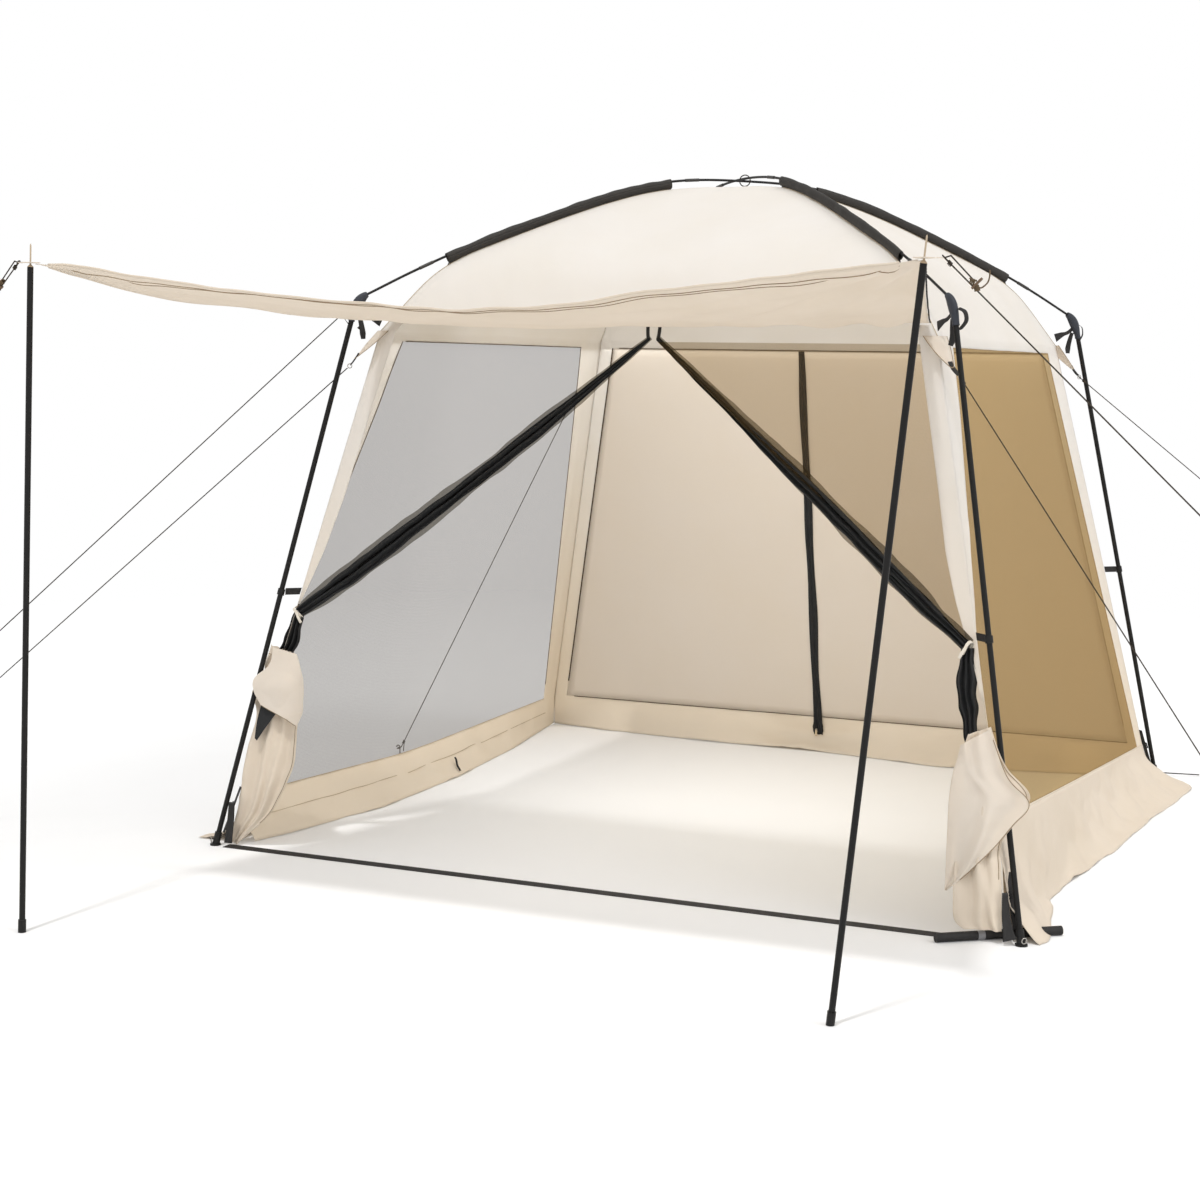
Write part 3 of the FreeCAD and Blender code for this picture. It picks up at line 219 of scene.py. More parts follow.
# ---------------------------------------------------------------- materials
LOOK = {
    "roof": cloth("canvas_roof", (240, 238, 236), dark=0.97, through=0.34,
                  glow=(240, 232, 218), low=(239, 228, 211)),
    "canvas": cloth("canvas_wall", (238, 230, 219), dark=0.955, glow=(232, 216, 192)),
    "hem": cloth("canvas_hem", (225, 212, 195), dark=0.95, through=0.15, glow=(226, 212, 190)),
    "awning": cloth("canvas_awning", (238, 230, 218), through=0.4, glow=(238, 228, 215),
                    crumple=0.0026),
    "sun": cloth("sun_panel_cloth", (230, 223, 213), dark=0.985, through=0.45,
                 glow=(238, 229, 218), crumple=0.0006),
    "net_left": net("net_left", srgb(104, 100, 97), cover=0.56, tint=(1.0, 0.985, 0.97, 1.0),
                    vary=0.015),
    "net_right": net("net_right", (0.33, 0.22, 0.105, 1.0), cover=0.45,
                     tint=(0.72, 0.61, 0.40, 1.0), vary=0.015),
    "net_door": net("net_door", srgb(116, 95, 63), cover=0.24, tint=(0.81, 0.74, 0.63, 1.0),
                    vary=0.015),
    "net_bundle": net("net_bundle", srgb(24, 24, 24), cover=0.62, tint=(0.9, 0.86, 0.78, 1.0)),
    "bundle": cloth("net_gathered", (27, 28, 29), dark=0.75, through=0.0, rough=0.8,
                    crumple=0.004),
    "webbing": tape("webbing_black", (26, 23, 21), dark=0.7, rough=0.7, pitch=2.0),
    "sleeve": cloth("sleeve_cloth", (38, 34, 29), dark=0.8, through=0.0, rough=0.62,
                    crumple=0.003),
    "steel": solid("black_steel_paint", (17, 16, 15), rough=0.42, grain=90.0, depth=0.0002,
                   vary=0.3, shine=0.22),
    "rod": solid("rod_black", (17, 15, 14), rough=0.4, grain=120.0, depth=0.0001, vary=0.3,
                 shine=0.25),
    "ferrule": solid("ferrule_dark", (60, 58, 56), rough=0.35, metallic=0.7, grain=150.0,
                     depth=0.0001),
    "elbow": solid("elbow_plastic", (44, 47, 54), rough=0.5, grain=70.0, depth=0.0004,
                   shine=0.3),
    "black": solid("plastic_black", (20, 19, 18), rough=0.45, grain=70.0, depth=0.0004,
                   shine=0.25),
    "metal": solid("ring_steel", (178, 174, 168), rough=0.3, metallic=1.0, grain=200.0,
                   depth=0.0001),
    "stake": solid("stake_steel", (150, 150, 150), rough=0.4, metallic=1.0, grain=160.0,
                   depth=0.0002),
    "cord": tape("guy_cord", (52, 43, 31), dark=0.6),
    "cord_light": tape("cord_brown", (112, 92, 66), dark=0.45),
    "runner": solid("runner_plastic", (92, 70, 48), rough=0.5, grain=80.0, depth=0.0003),
    "band": solid("band_grey", (120, 120, 122), rough=0.5, grain=80.0, depth=0.0003),
    "bar": tape("bar_cover", (24, 22, 21), dark=0.75, rough=0.6, pitch=2.0),
    "piping_dark": tape("piping_deep_brown", (74, 60, 44), dark=0.7),
    "spike": solid("spike_tan", (176, 158, 134), rough=0.45, metallic=0.3, grain=90.0,
                   depth=0.0002),
    "piping": tape("piping_brown", (104, 88, 66), dark=0.7),
    "hem_line": tape("hem_thread", (158, 138, 112), dark=0.8),
    "stitch": tape("stitch_thread", (196, 180, 154), dark=0.8),
    "tie": cloth("tie_tape", (236, 228, 214), dark=0.9, through=0.1),
    "pull": solid("pull_beige", (196, 178, 146), rough=0.55, grain=90.0, depth=0.0003),
}
# look of each material slot of the CAD pieces
SLOT_LOOK = {
    "cream_canvas": "canvas", "awning_canvas": "awning", "window_mesh": "net_left",
    "door_net": "bundle", "black_webbing": "webbing", "sleeve_cloth": "sleeve",
    "black_steel": "steel", "pole_rod": "rod", "ferrule_metal": "ferrule",
    "elbow_plastic": "elbow", "black_plastic": "black", "ring_metal": "metal",
    "stake_metal": "stake", "line_cord": "cord", "runner_plastic": "runner",
    "zip_metal": "metal", "zip_tape": "webbing", "pull_tab": "pull", "band_grey": "band",
}
slot_of = {part["node"]: part["material_slot"] for part in frame["record"]["subparts"]}
for name, piece in frame["nodes"].items():
    if name == "ground_bar":
        look = "bar"
    elif name.startswith("awning_pole_spike"):
        look = "spike"
    else:
        look = SLOT_LOOK[slot_of[name]]
    piece.data.materials.clear()
    piece.data.materials.append(LOOK[look])


# ---------------------------------------------------------------- numeric helpers
def unit(vectors):
    return vectors / np.linalg.norm(vectors, axis=-1, keepdims=True)


def tangents(path):
    return unit(np.gradient(path, axis=0))


def ripple(seed, count, low, high):
    """Smooth random field, about -1 to 1; low and high bound its waves per metre."""
    random = np.random.RandomState(seed)
    directions = unit(random.normal(size=(count, 3)))
    rates = random.uniform(low, high, count)
    phases = random.uniform(0, tau, count)
    sizes = 1.0 / np.sqrt(rates)
    sizes /= np.sqrt((sizes ** 2).sum()) * 1.2

    def field(points):
        metres = np.asarray(points, float) / 1000.0
        total = np.zeros(metres.shape[:-1])
        for direction, rate, phase, size in zip(directions, rates, phases, sizes):
            total += size * np.sin(tau * rate * (metres @ direction) + phase)
        return total

    return field


def smooth01(value):
    value = np.clip(value, 0, 1)
    return value * value * (3 - 2 * value)


def bell(value, centre, width):
    return np.exp(-((value - centre) / width) ** 2)


def dense(points, count):
    """Smooth curve through points (Catmull-Rom), as count samples."""
    points = np.asarray(points, float)
    ext = np.vstack([2 * points[0] - points[1], points, 2 * points[-1] - points[-2]])
    curve = []
    for place in np.linspace(0, len(points) - 1 - 1e-9, count):
        i = int(place)
        t = place - i
        p0, p1, p2, p3 = ext[i:i + 4]
        curve.append(0.5 * (2 * p1 + (p2 - p0) * t + (2 * p0 - 5 * p1 + 4 * p2 - p3) * t * t
                            + (3 * p1 - p0 - 3 * p2 + p3) * t ** 3))
    return np.array(curve)


def profile(stations):
    """Natural cubic spline of height over reach, mirrored about reach 0."""
    half = np.array(stations, float)
    reach, height = np.vstack([half[:0:-1] * [-1, 1], half]).T
    count = len(reach)
    step = np.diff(reach)
    matrix = np.eye(count)
    target = np.zeros(count)
    for i in range(1, count - 1):
        matrix[i, i - 1:i + 2] = step[i - 1], 2 * (step[i - 1] + step[i]), step[i]
        target[i] = 6 * ((height[i + 1] - height[i]) / step[i]
                         - (height[i] - height[i - 1]) / step[i - 1])
    bend = np.linalg.solve(matrix, target)

    def at_reach(x):
        x = np.asarray(x, float)
        i = np.clip(np.searchsorted(reach, x) - 1, 0, count - 2)
        after, before = reach[i + 1] - x, x - reach[i]
        cubes = (bend[i] * after ** 3 + bend[i + 1] * before ** 3) / (6 * step[i])
        return (cubes + (height[i] / step[i] - bend[i] * step[i] / 6) * after
                + (height[i + 1] / step[i] - bend[i + 1] * step[i] / 6) * before)

    return at_reach


# ---------------------------------------------------------------- mesh helpers
def make(name, pieces, material, body="shelter", thick=0.0, replaces=(), slot=None):
    """One object from pieces of (vertices, faces, UVs) in mm; thick is the cloth thickness."""
    faces, start = [], 0
    for points, piece_faces, _ in pieces:
        faces += [tuple(corner + start for corner in face) for face in piece_faces]
        start += len(points)
    mesh = bpy.data.meshes.new(name)
    points = np.concatenate([piece[0] for piece in pieces])
    mesh.from_pydata([tuple(point) for point in to_row(points)], [], faces)
    mesh.update()
    layer = mesh.uv_layers.new(name="UVMap")
    index = np.zeros(len(mesh.loops), int)
    mesh.loops.foreach_get("vertex_index", index)
    uvs = np.concatenate([piece[2] for piece in pieces])
    layer.data.foreach_set("uv", uvs[index].ravel())
    mesh.polygons.foreach_set("use_smooth", [True] * len(mesh.polygons))
    mesh.materials.append(material)
    thing = bpy.data.objects.new(name, mesh)
    bpy.context.scene.collection.objects.link(thing)
    if thick:
        solidify = thing.modifiers.new("thickness", "SOLIDIFY")
        solidify.thickness = thick / 1000.0
        solidify.offset = 0.0
        solidify.use_even_offset = False
    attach(thing, body)
    if replaces:
        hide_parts(*replaces)


def patch(grid, mask=None):
    """Vertices, faces and UVs (m along the cloth) of a grid; mask picks the faces kept."""
    rows, columns = grid.shape[:2]
    if mask is None:
        mask = np.ones((rows - 1, columns - 1), bool)
    index = np.arange(rows * columns).reshape(rows, columns)
    faces = np.stack([index[:-1, :-1], index[:-1, 1:], index[1:, 1:], index[1:, :-1]],
                     axis=-1)[mask]
    used = np.zeros(rows * columns, bool)
    used[faces] = True
    down = np.zeros((rows, columns))
    over = np.zeros((rows, columns))
    down[1:] = np.cumsum(np.linalg.norm(np.diff(grid, axis=0), axis=2), axis=0)
    over[:, 1:] = np.cumsum(np.linalg.norm(np.diff(grid, axis=1), axis=2), axis=1)
    over -= over[:, columns // 2:columns // 2 + 1]
    uvs = np.stack([over, down], axis=2).reshape(-1, 2) / 1000.0
    renumber = np.cumsum(used) - 1
    return grid.reshape(-1, 3)[used], renumber[faces].tolist(), uvs[used]


def sheets(name, grids, material, masks=None, **options):
    masks = masks or [None] * len(grids)
    make(name, [patch(grid, mask) for grid, mask in zip(grids, masks)], material, **options)


def tube(path, radius, sides):
    path = np.asarray(path, float)
    ahead = tangents(path)
    reference = [0.0, 1.0, 0.0] if abs(ahead[0][2]) > 0.9 else [0.0, 0.0, 1.0]
    first = unit(np.cross(ahead[0], reference))
    firsts, seconds = [], []
    for direction in ahead:
        first = unit(first - direction * (first @ direction))
        firsts.append(first)
        seconds.append(np.cross(direction, first))
    angle = np.linspace(0, tau, sides, endpoint=False)[None, :, None]
    rings = path[:, None] + radius * (np.cos(angle) * np.array(firsts)[:, None]
                                      + np.sin(angle) * np.array(seconds)[:, None])
    points = rings.reshape(-1, 3)
    faces = []
    last = (len(path) - 1) * sides
    for ring in range(0, last, sides):
        for j in range(sides):
            after = (j + 1) % sides
            faces.append((ring + j, ring + after, ring + sides + after, ring + sides + j))
    faces.append(tuple(range(sides - 1, -1, -1)))
    faces.append(tuple(last + j for j in range(sides)))
    uvs = np.stack([points[:, 0] + points[:, 1], points[:, 2]], axis=1) / 1000.0
    return points, faces, uvs


def tubes(name, paths, radius, material, sides=8, **options):
    make(name, [tube(path, radius, sides) for path in paths], material, **options)


def ribbon(path, width, side, across=5, curl=0.0):
    """Flat strap along a path: side is the direction across it, curl lifts its edges."""
    path = np.asarray(path, float)
    ahead = tangents(path)
    side = np.broadcast_to(np.asarray(side, float), path.shape)
    side = unit(side - ahead * (side * ahead).sum(1, keepdims=True))
    normal = np.cross(ahead, side)
    share = np.linspace(-0.5, 0.5, across)[None, :, None]
    width = np.broadcast_to(np.asarray(width, float), (len(path),))[:, None, None]
    return path[:, None] + side[:, None] * (share * width) + normal[:, None] * (
        curl * (4 * share ** 2))


def gathered(path, half, fold, seed, folds, turns=0.8, across=44):
    """Pleated cloth along a path: half lists its half width and fold its pleat depth,
    both spaced evenly from start to end; turns is how far the pleats twist."""
    path = np.asarray(path, float)
    ahead = tangents(path)
    sideways = unit(np.cross(ahead, [0.0, -1.0, 0.0]))
    outward = np.cross(sideways, ahead)
    share = np.linspace(-1, 1, across)
    start = np.random.RandomState(seed).uniform(0, 6.28)
    down = np.linspace(0, 1, len(path))
    half = np.interp(down, np.linspace(0, 1, len(half)), half)
    half = half * (1 + 0.10 * np.sin(7 * down * pi + start * 2))
    fold = np.interp(down, np.linspace(0, 1, len(fold)), fold)[:, None]
    drift = (start + turns * tau * down)[:, None]
    depth = fold * np.sin(pi * folds * share + drift) * (1 - 0.35 * share ** 2)
    sideways, outward = sideways[:, None], outward[:, None]
    points = (path[:, None] + sideways * (half[:, None] * share)[..., None]
              + outward * depth[..., None])
    jag = ripple(seed, 16, 3.0, 12.0)
    return (points + sideways * (jag(points) * fold * 0.22)[..., None]
            + outward * (jag(points + 500.0) * fold * 0.3)[..., None])


# ---------------------------------------------------------------- profiles
# reach from the centre, height
pole_z = profile([
    (0.0, PEAK), (321.0, PEAK - 21), (565.7, PEAK - 80), (792.0, PEAK - 159),
    (1025.3, PEAK - 249), (1236.0, PEAK - 340), (1418.5, PEAK - 427), (1545.0, 2045.0),
    (1576.0, 2029.5)])
GORE_TOP = 2502.0
gore_z = profile([
    (0.0, GORE_TOP), (120.0, 2498.0), (227.0, 2484.0), (400.0, 2425.0), (560.0, 2346.0),
    (725.0, 2256.0), (845.0, 2182.0), (925.0, 2104.0), (985.0, 2018.0), (1062.0, EAVE)])


def wall(z):
    """Reach of the leaning walls at a height."""
    return WALL_BASE - WALL_LEAN * z


def leg_front(z):
    """Reach in x, and forward in y, of a front leg's axis."""
    return (2121.0 - 0.2756 * z) / ROOT2


# Cloth columns beside the corners: heights, widths.
FRONT_RIGHT = ([700, 860, 950, 1057, 1200, 1400, 1900], [3, 22, 37, 54, 66, 64, 65])
FRONT_LEFT = ([860, 950, 1100, 1300, 1900], [3, 20, 45, 60, 65])
SIDE_RIGHT = ([860, 950, 1057, 1200, 1400, 1650, 1900], [4, 9, 45, 75, 120, 180, 200])
SIDE_LEFT = ([860, 950, 1057, 1200, 1400, 1650, 1900], [4, 14, 45, 75, 112, 160, 190])
POINT_RIGHT, POINT_LEFT = 706.0, 866.0       # the front columns end in a point here


def rear_column_width(z):
    return 130.0 + 98.0 * np.clip((z - 36.0) / (EAVE - 39.0), 0, 1)


def column_widths(side, z):
    """Column widths where along is -1 and where it is +1."""
    if side == "front":
        return np.interp(z, *FRONT_LEFT), np.interp(z, *FRONT_RIGHT)
    if side == "right":
        return np.interp(z, *SIDE_RIGHT), rear_column_width(z)
    if side == "left":
        return rear_column_width(z), np.interp(z, *SIDE_LEFT)
    return 65.0, 65.0


def side_point(side, reach, along, z):
    """Point on a side; along runs -1 to 1, anticlockwise seen from above."""
    out_x, out_y = SIDES[side]
    return np.stack([out_x * reach - out_y * along * reach,
                     out_y * reach + out_x * along * reach, z], axis=-1)


def hem_top(side, along):
    if side == "right":       # towards the rear
        return np.interp(along * HALF_SIDE, [-1440, -964, -194, 1440], [350, 337, 277, 150])
    if side == "left":        # towards the front
        return np.interp(along * HALF_SIDE, [-1440, -114, 169, 1003, 1440],
                         [150, 120, 120, 160, 176])
    return 150.0 + 0 * along


def hem_bow(side, along):
    """How far the foot of the hem lies inside the wall."""
    if side == "left":
        return np.interp(-along * HALF_SIDE, [-1500, -1300, -746, 65, 800, 1340, 1440],
                         [60, 130, 218, 208, 140, 42, 25])
    if side == "rear":
        return np.interp(-along * HALF_SIDE, [-1440, -1200, -625, -22, 662, 1200, 1440],
                         [30, 90, 134, 134, 240, 120, 40])
    return 40.0 + 60.0 * (1 - along ** 2)


# ---------------------------------------------------------------- canvas shell
COLUMN_CELLS, MIDDLE_CELLS = 10, 64
WINDOW_ROWS, HEM_ROWS = 44, 12
MIDDLE = slice(COLUMN_CELLS, COLUMN_CELLS + MIDDLE_CELLS)               # cells
MIDDLE_POINTS = slice(COLUMN_CELLS, COLUMN_CELLS + MIDDLE_CELLS + 1)
# column stations: 0 to 1 first column, 1 to 2 middle, 2 to 3 second column
STATIONS = np.concatenate([np.linspace(0, 1, COLUMN_CELLS + 1)[:-1],
                           1 + np.linspace(0, 1, MIDDLE_CELLS + 1)[:-1],
                           2 + np.linspace(0, 1, COLUMN_CELLS + 1)])
roof_reach = np.concatenate([np.linspace(0, 900, 44)[:-1], np.linspace(900, wall(EAVE), 22)])
# kind, share of the way down that part, reach, height (window and hem rows find their own)
ROWS = [("roof", 0, reach, z) for reach, z in zip(roof_reach, gore_z(roof_reach))]
ROWS += [("band", 0, wall(z), z) for z in np.linspace(EAVE, WINDOW_TOP, 4)[1:]]
ROWS += [("window", down, 0, 0) for down in np.linspace(0, 1, WINDOW_ROWS + 1)[1:]]
ROWS += [("hem", down, 0, 0) for down in np.linspace(0, 1, HEM_ROWS + 1)[1:]]
ROW_KINDS = np.array([row[0] for row in ROWS])
ROW_HEIGHTS = np.array([row[3] for row in ROWS], float)
SILL_ROW = len(ROWS) - HEM_ROWS - 1
HEAD_ROW = SILL_ROW - WINDOW_ROWS
fold_broad, fold_middle = ripple(3, 14, 0.7, 2.2), ripple(5, 18, 2.5, 6.5)
fold_fine = ripple(8, 20, 6.0, 14.0)


def shell_row(side, kind, down, reach, z):
    """Points and along values of one row of a side."""
    heights = np.full(len(STATIONS), float(z))
    reaches = np.full(len(STATIONS), float(reach))
    for _ in range(3):         # the column widths and the row's height depend on each other
        start_width, end_width = column_widths(side, heights)
        half = wall(np.minimum(heights, EAVE))
        start, end = 1 - start_width / half, 1 - end_width / half
        along = np.where(STATIONS < 1, -1 + STATIONS * (1 - start),
                         np.where(STATIONS < 2, -start + (STATIONS - 1) * (start + end),
                                  end + (STATIONS - 2) * (1 - end)))
        if kind == "window":
            heights = WINDOW_TOP + (hem_top(side, along) - WINDOW_TOP) * down
            reaches = wall(heights)
        elif kind == "hem":
            heights = hem_top(side, along) * (1 - down) + 4.0 * down
            # near the middle of the rear the hem turns in only at its foot
            power = 1.25
            if side == "rear":
                power = 1.25 + 6.5 * bell(along * HALF_SIDE, 75.0, 190.0)
            reaches = wall(heights) - hem_bow(side, along) * down ** power
    return side_point(side, reaches, along, heights), along


def shell_relief(side, grid, along):
    """Displacement of the shell along its inward normals."""
    z = grid[..., 2]
    off_corner = 1 - np.abs(along)
    roof = smooth01((z - EAVE + 20) / 120.0)
    low = smooth01((260.0 - z) / 200.0)
    crown = -16.0 * roof * (1 - along ** 2) * np.sin(
        np.clip((GORE_TOP - z) / 600.0, 0, 1) * pi)
    # folds fan out from the roof corners and run down the columns
    corner = bell(off_corner, 0, 0.18) * bell(z, EAVE, 170.0)
    fan = 5.0 * corner * np.sin(
        26.0 * np.arctan2(off_corner * 900.0, np.abs(z - EAVE - 40) + 30.0))
    column = (1 - roof) * bell(off_corner, 0, 0.12)
    pleat = 3.0 * column * np.sin(tau * (np.abs(along) * 14.0 + 0.3 * np.sin(z / 260.0)))
    folds = (4.5 * fold_broad(grid) * (0.35 + 0.65 * roof)
             + 2.2 * fold_middle(grid) * (0.5 + column) + fan + pleat
             + (6.0 * fold_middle(grid * [1, 1, 0.3]) + 3.5 * fold_fine(grid)) * low)
    relief = crown + (1 - np.abs(along) ** 14) * folds
    # the windows stay taut
    relief[HEAD_ROW + 1:SILL_ROW + 1, MIDDLE_POINTS] *= 0.35 if side == "rear" else 0.0
    return relief


def shell_side(side):
    """Grid of a side, the mask of its canvas and the mask of its window."""
    rows = [shell_row(side, *row) for row in ROWS]
    grid = np.array([row[0] for row in rows])
    relief = shell_relief(side, grid, np.array([row[1] for row in rows]))
    normal = np.cross(np.gradient(grid, axis=1), np.gradient(grid, axis=0))
    length = np.linalg.norm(normal, axis=2, keepdims=True)
    grid = grid + normal / np.maximum(length, 1e-9) * relief[..., None]
    grid[..., 2] = np.maximum(grid[..., 2], 3.0)
    canvas = np.ones((len(ROWS) - 1, len(STATIONS) - 1), bool)
    window = np.zeros_like(canvas)
    if side == "front":
        canvas[(ROW_KINDS[1:] != "roof") | (ROW_HEIGHTS[:-1] < FRONT_TOP), MIDDLE] = False
        canvas[:, :MIDDLE.start] &= grid[1:, :1, 2] > POINT_LEFT
        canvas[:, MIDDLE.stop:] &= grid[1:, -1:, 2] > POINT_RIGHT
    else:
        window[HEAD_ROW:SILL_ROW, MIDDLE] = True
        canvas &= ~window
    return grid, canvas, window


shell = {side: shell_side(side) for side in SIDES}
sheets("canvas_shell", [part[0] for part in shell.values()], LOOK["roof"],
       masks=[part[1] for part in shell.values()], thick=1.0, slot="cream_canvas",
       replaces=["roof_gore_front", "roof_gore_right", "roof_gore_rear", "roof_gore_left",
                 "eave_bands", "corner_columns_front", "corner_columns_rear", "wall_hems"])
for side in ("left", "right"):
    sheets("window_net_" + side, [shell[side][0]], LOOK["net_" + side],
           masks=[shell[side][2]], replaces=["window_mesh_" + side], slot="window_mesh")
sheets("rear_sun_cloth", [shell["rear"][0]], LOOK["sun"], masks=[shell["rear"][2]], thick=0.8,
       replaces=["rear_sun_panel"], slot="cream_canvas")

# ---------------------------------------------------------------- window piping and seams
# kind of line on the head, sill, start and end edge of each window
EDGE_LINES = {"left": ("piping", "seam", "piping", "piping"),
              "right": ("seam", "seam", "seam", "seam"),
              "rear": ("piping", "piping", "seam", "bold")}
edge_lines = {"piping": [], "bold": [], "seam": []}
for side, kinds in EDGE_LINES.items():
    grid = shell[side][0]
    height = slice(HEAD_ROW, SILL_ROW + 1)
    edges = (grid[HEAD_ROW, MIDDLE_POINTS], grid[SILL_ROW, MIDDLE_POINTS],
             grid[height, MIDDLE.start], grid[height, MIDDLE.stop])
    for kind, edge in zip(kinds, edges):
        inward = np.array([*SIDES[side], 0.0]) * 1.5
        edge_lines[kind].append(dense(edge[::3], 60) - inward)
left_hem_seam = shell["left"][0][SILL_ROW + 6, MIDDLE_POINTS]
edge_lines["seam"].append(dense(left_hem_seam[::3], 80) + [1.8, 0.0, 0.6])
tubes("window_piping", edge_lines["piping"], 1.8, LOOK["piping"], sides=6)
tubes("window_piping_bold", edge_lines["bold"], 3.2, LOOK["piping_dark"], sides=6)
tubes("window_seams", edge_lines["seam"], 1.4, LOOK["stitch"], sides=6)

# stitched seams down the four ridges of the roof
SLEEVE_START, SLEEVE_END = 321.0, 1236.0     # radii of the pole sleeves
ridge = np.linspace(330 / ROOT2, 1060.0, 60)
seams = [np.stack([x_sign * ridge, y_sign * ridge, gore_z(ridge) + 1.6], axis=1)
         for x_sign, y_sign in CORNERS]
tubes("canvas_seams", seams, 1.4, LOOK["stitch"], sides=6)

# ---------------------------------------------------------------- ground skirts
SKIRT_GAP = 3.0               # skirt outside the wall


def skirt(side, stations, top, seed, waves):
    """Sheet from the wall down and out onto the ground.
    stations: run along the side, reach on the ground; top: runs, heights of the upper edge."""
    out_x, out_y = SIDES[side]
    stations = np.array(stations, float)
    run = np.linspace(stations[0, 0], stations[-1, 0], 150)
    down, runs = np.meshgrid(np.linspace(0, 1, 26), run, indexing="ij")
    ground_reach = np.interp(run, *dense(stations, 400).T)
    top_height = np.interp(run, *top)
    z = top_height * (1 - down) ** 1.25
    reach = (wall(top_height) + SKIRT_GAP) * (1 - down ** 1.6) + ground_reach * down ** 1.6
    reach = np.maximum(reach, wall(z) + SKIRT_GAP)
    broad = ripple(seed, 16, 1.6, 5.5)
    fine = ripple(seed + 1, 16, 5.0, 12.0)
    place = np.stack([runs, 0 * runs, 400.0 * down], axis=-1)
    wave = (broad(place) * waves + fine(place) * waves * 0.35) * np.sin(down * pi * 0.85) ** 0.8
    reach = np.maximum(reach + wave, wall(z) + SKIRT_GAP)
    lift = (np.abs(fine(place * 1.3)) * 5.0 * down ** 3
            + np.maximum(broad(place * 0.8), 0) * 6.0 * down ** 2)
    z = np.maximum(z + lift, 1.2)
    return np.stack([out_x * reach if out_x else runs, out_y * reach if out_y else runs, z],
                    axis=-1)


LOW_TOP = ([-1440, 1440], [62.0, 62.0])
sheets("ground_skirt_cloth", [
    skirt("right", [(-1472, 1545), (-1358, 1566), (-1000, 1500), (-788, 1478), (-136, 1556),
                    (500, 1610), (1170, 1680), (1330, 1672), (1440, 1600)],
          top=([-1440, -964, -194, 1440], [348, 335, 275, 148]), seed=21, waves=12.0),
    skirt("left", [(-1436, 1618), (-1200, 1590), (-700, 1560), (0, 1570), (700, 1600),
                   (1200, 1630), (1440, 1560)], top=LOW_TOP, seed=31, waves=9.0),
    skirt("rear", [(-1440, 1555), (-1200, 1625), (0, 1590), (1200, 1630), (1440, 1560)],
          top=LOW_TOP, seed=41, waves=9.0),
], LOOK["hem"], thick=1.0, replaces=["ground_skirts"], slot="cream_canvas")


# ---------------------------------------------------------------- pole sleeves
def pole_sleeve(x_sign, y_sign):
    """Creased sleeve round a roof pole, and the sewn lip from it down to the ridge."""
    lift = -CROSS_LIFT if x_sign * y_sign > 0 else CROSS_LIFT
    radius = np.linspace(SLEEVE_START, SLEEVE_END, 90)
    x, y = x_sign * radius / ROOT2, y_sign * radius / ROOT2
    path = np.stack([x, y, pole_z(radius) + lift * bell(radius, 0, 260.0) - 7.0], axis=1)
    side = np.array([-y_sign, x_sign, 0.0]) / ROOT2
    up = np.cross(tangents(path), side)
    up *= np.sign(up[:, 2:3])
    angle = np.linspace(0, tau, 25)
    across, rise = np.cos(angle)[:, None], np.sin(angle)[:, None]
    half_height = np.where(rise > 0, 15.5, 19.0)
    rings = path[:, None] + side * (11.0 * across) + up[:, None] * (half_height * rise)
    crease = ripple(50 + x_sign + 2 * y_sign, 16, 4.0, 14.0)(rings) * 2.0
    rings = rings + (side * across + up[:, None] * rise) * crease[..., None]
    rings[:, -1] = rings[:, 0]
    low = np.stack([x, y, gore_z(radius / ROOT2) + 1.0], axis=1)
    high = path - up * 17.0
    lip = [low * (1 - share) + high * share + side * 1.5 * math.sin(share * 3.1)
           for share in np.linspace(0, 1, 5)]
    return [rings, np.stack(lip, axis=1)]


sheets("pole_sleeve_cloth", [grid for corner in CORNERS for grid in pole_sleeve(*corner)],
       LOOK["sleeve"], thick=1.0, replaces=["pole_sleeves"], slot="sleeve_cloth")


# ---------------------------------------------------------------- roof corners
def at(corner, radius, z, across=0.0):
    """Point on a corner's diagonal, or across it."""
    x_sign, y_sign = corner
    return np.array([x_sign / ROOT2 * radius - y_sign / ROOT2 * across,
                     y_sign / ROOT2 * radius + x_sign / ROOT2 * across, z])


def corner_path(corner, points, count):
    """Curve through (radius, z, across) points at a corner."""
    return dense([at(corner, *point) for point in points], count)


def corner_flap(corner):
    """Tapering flap that hangs from the roof corner."""
    grid = np.zeros((16, 13, 3))
    for i, down in enumerate(np.linspace(0, 1, 16)):
        half = 46 * (1 - down) + 8 * down + 6 * math.sin(down * pi)
        for j, share in enumerate(np.linspace(-1, 1, 13)):
            radius = (1502 + 84 * down - 27.0 * (1 - down) * share ** 2
                      + 4.0 * math.sin(down * 3.1) * math.cos(share * 4.0))
            grid[i, j] = at(corner, radius, 1912 - 100 * down, half * share)
    return grid


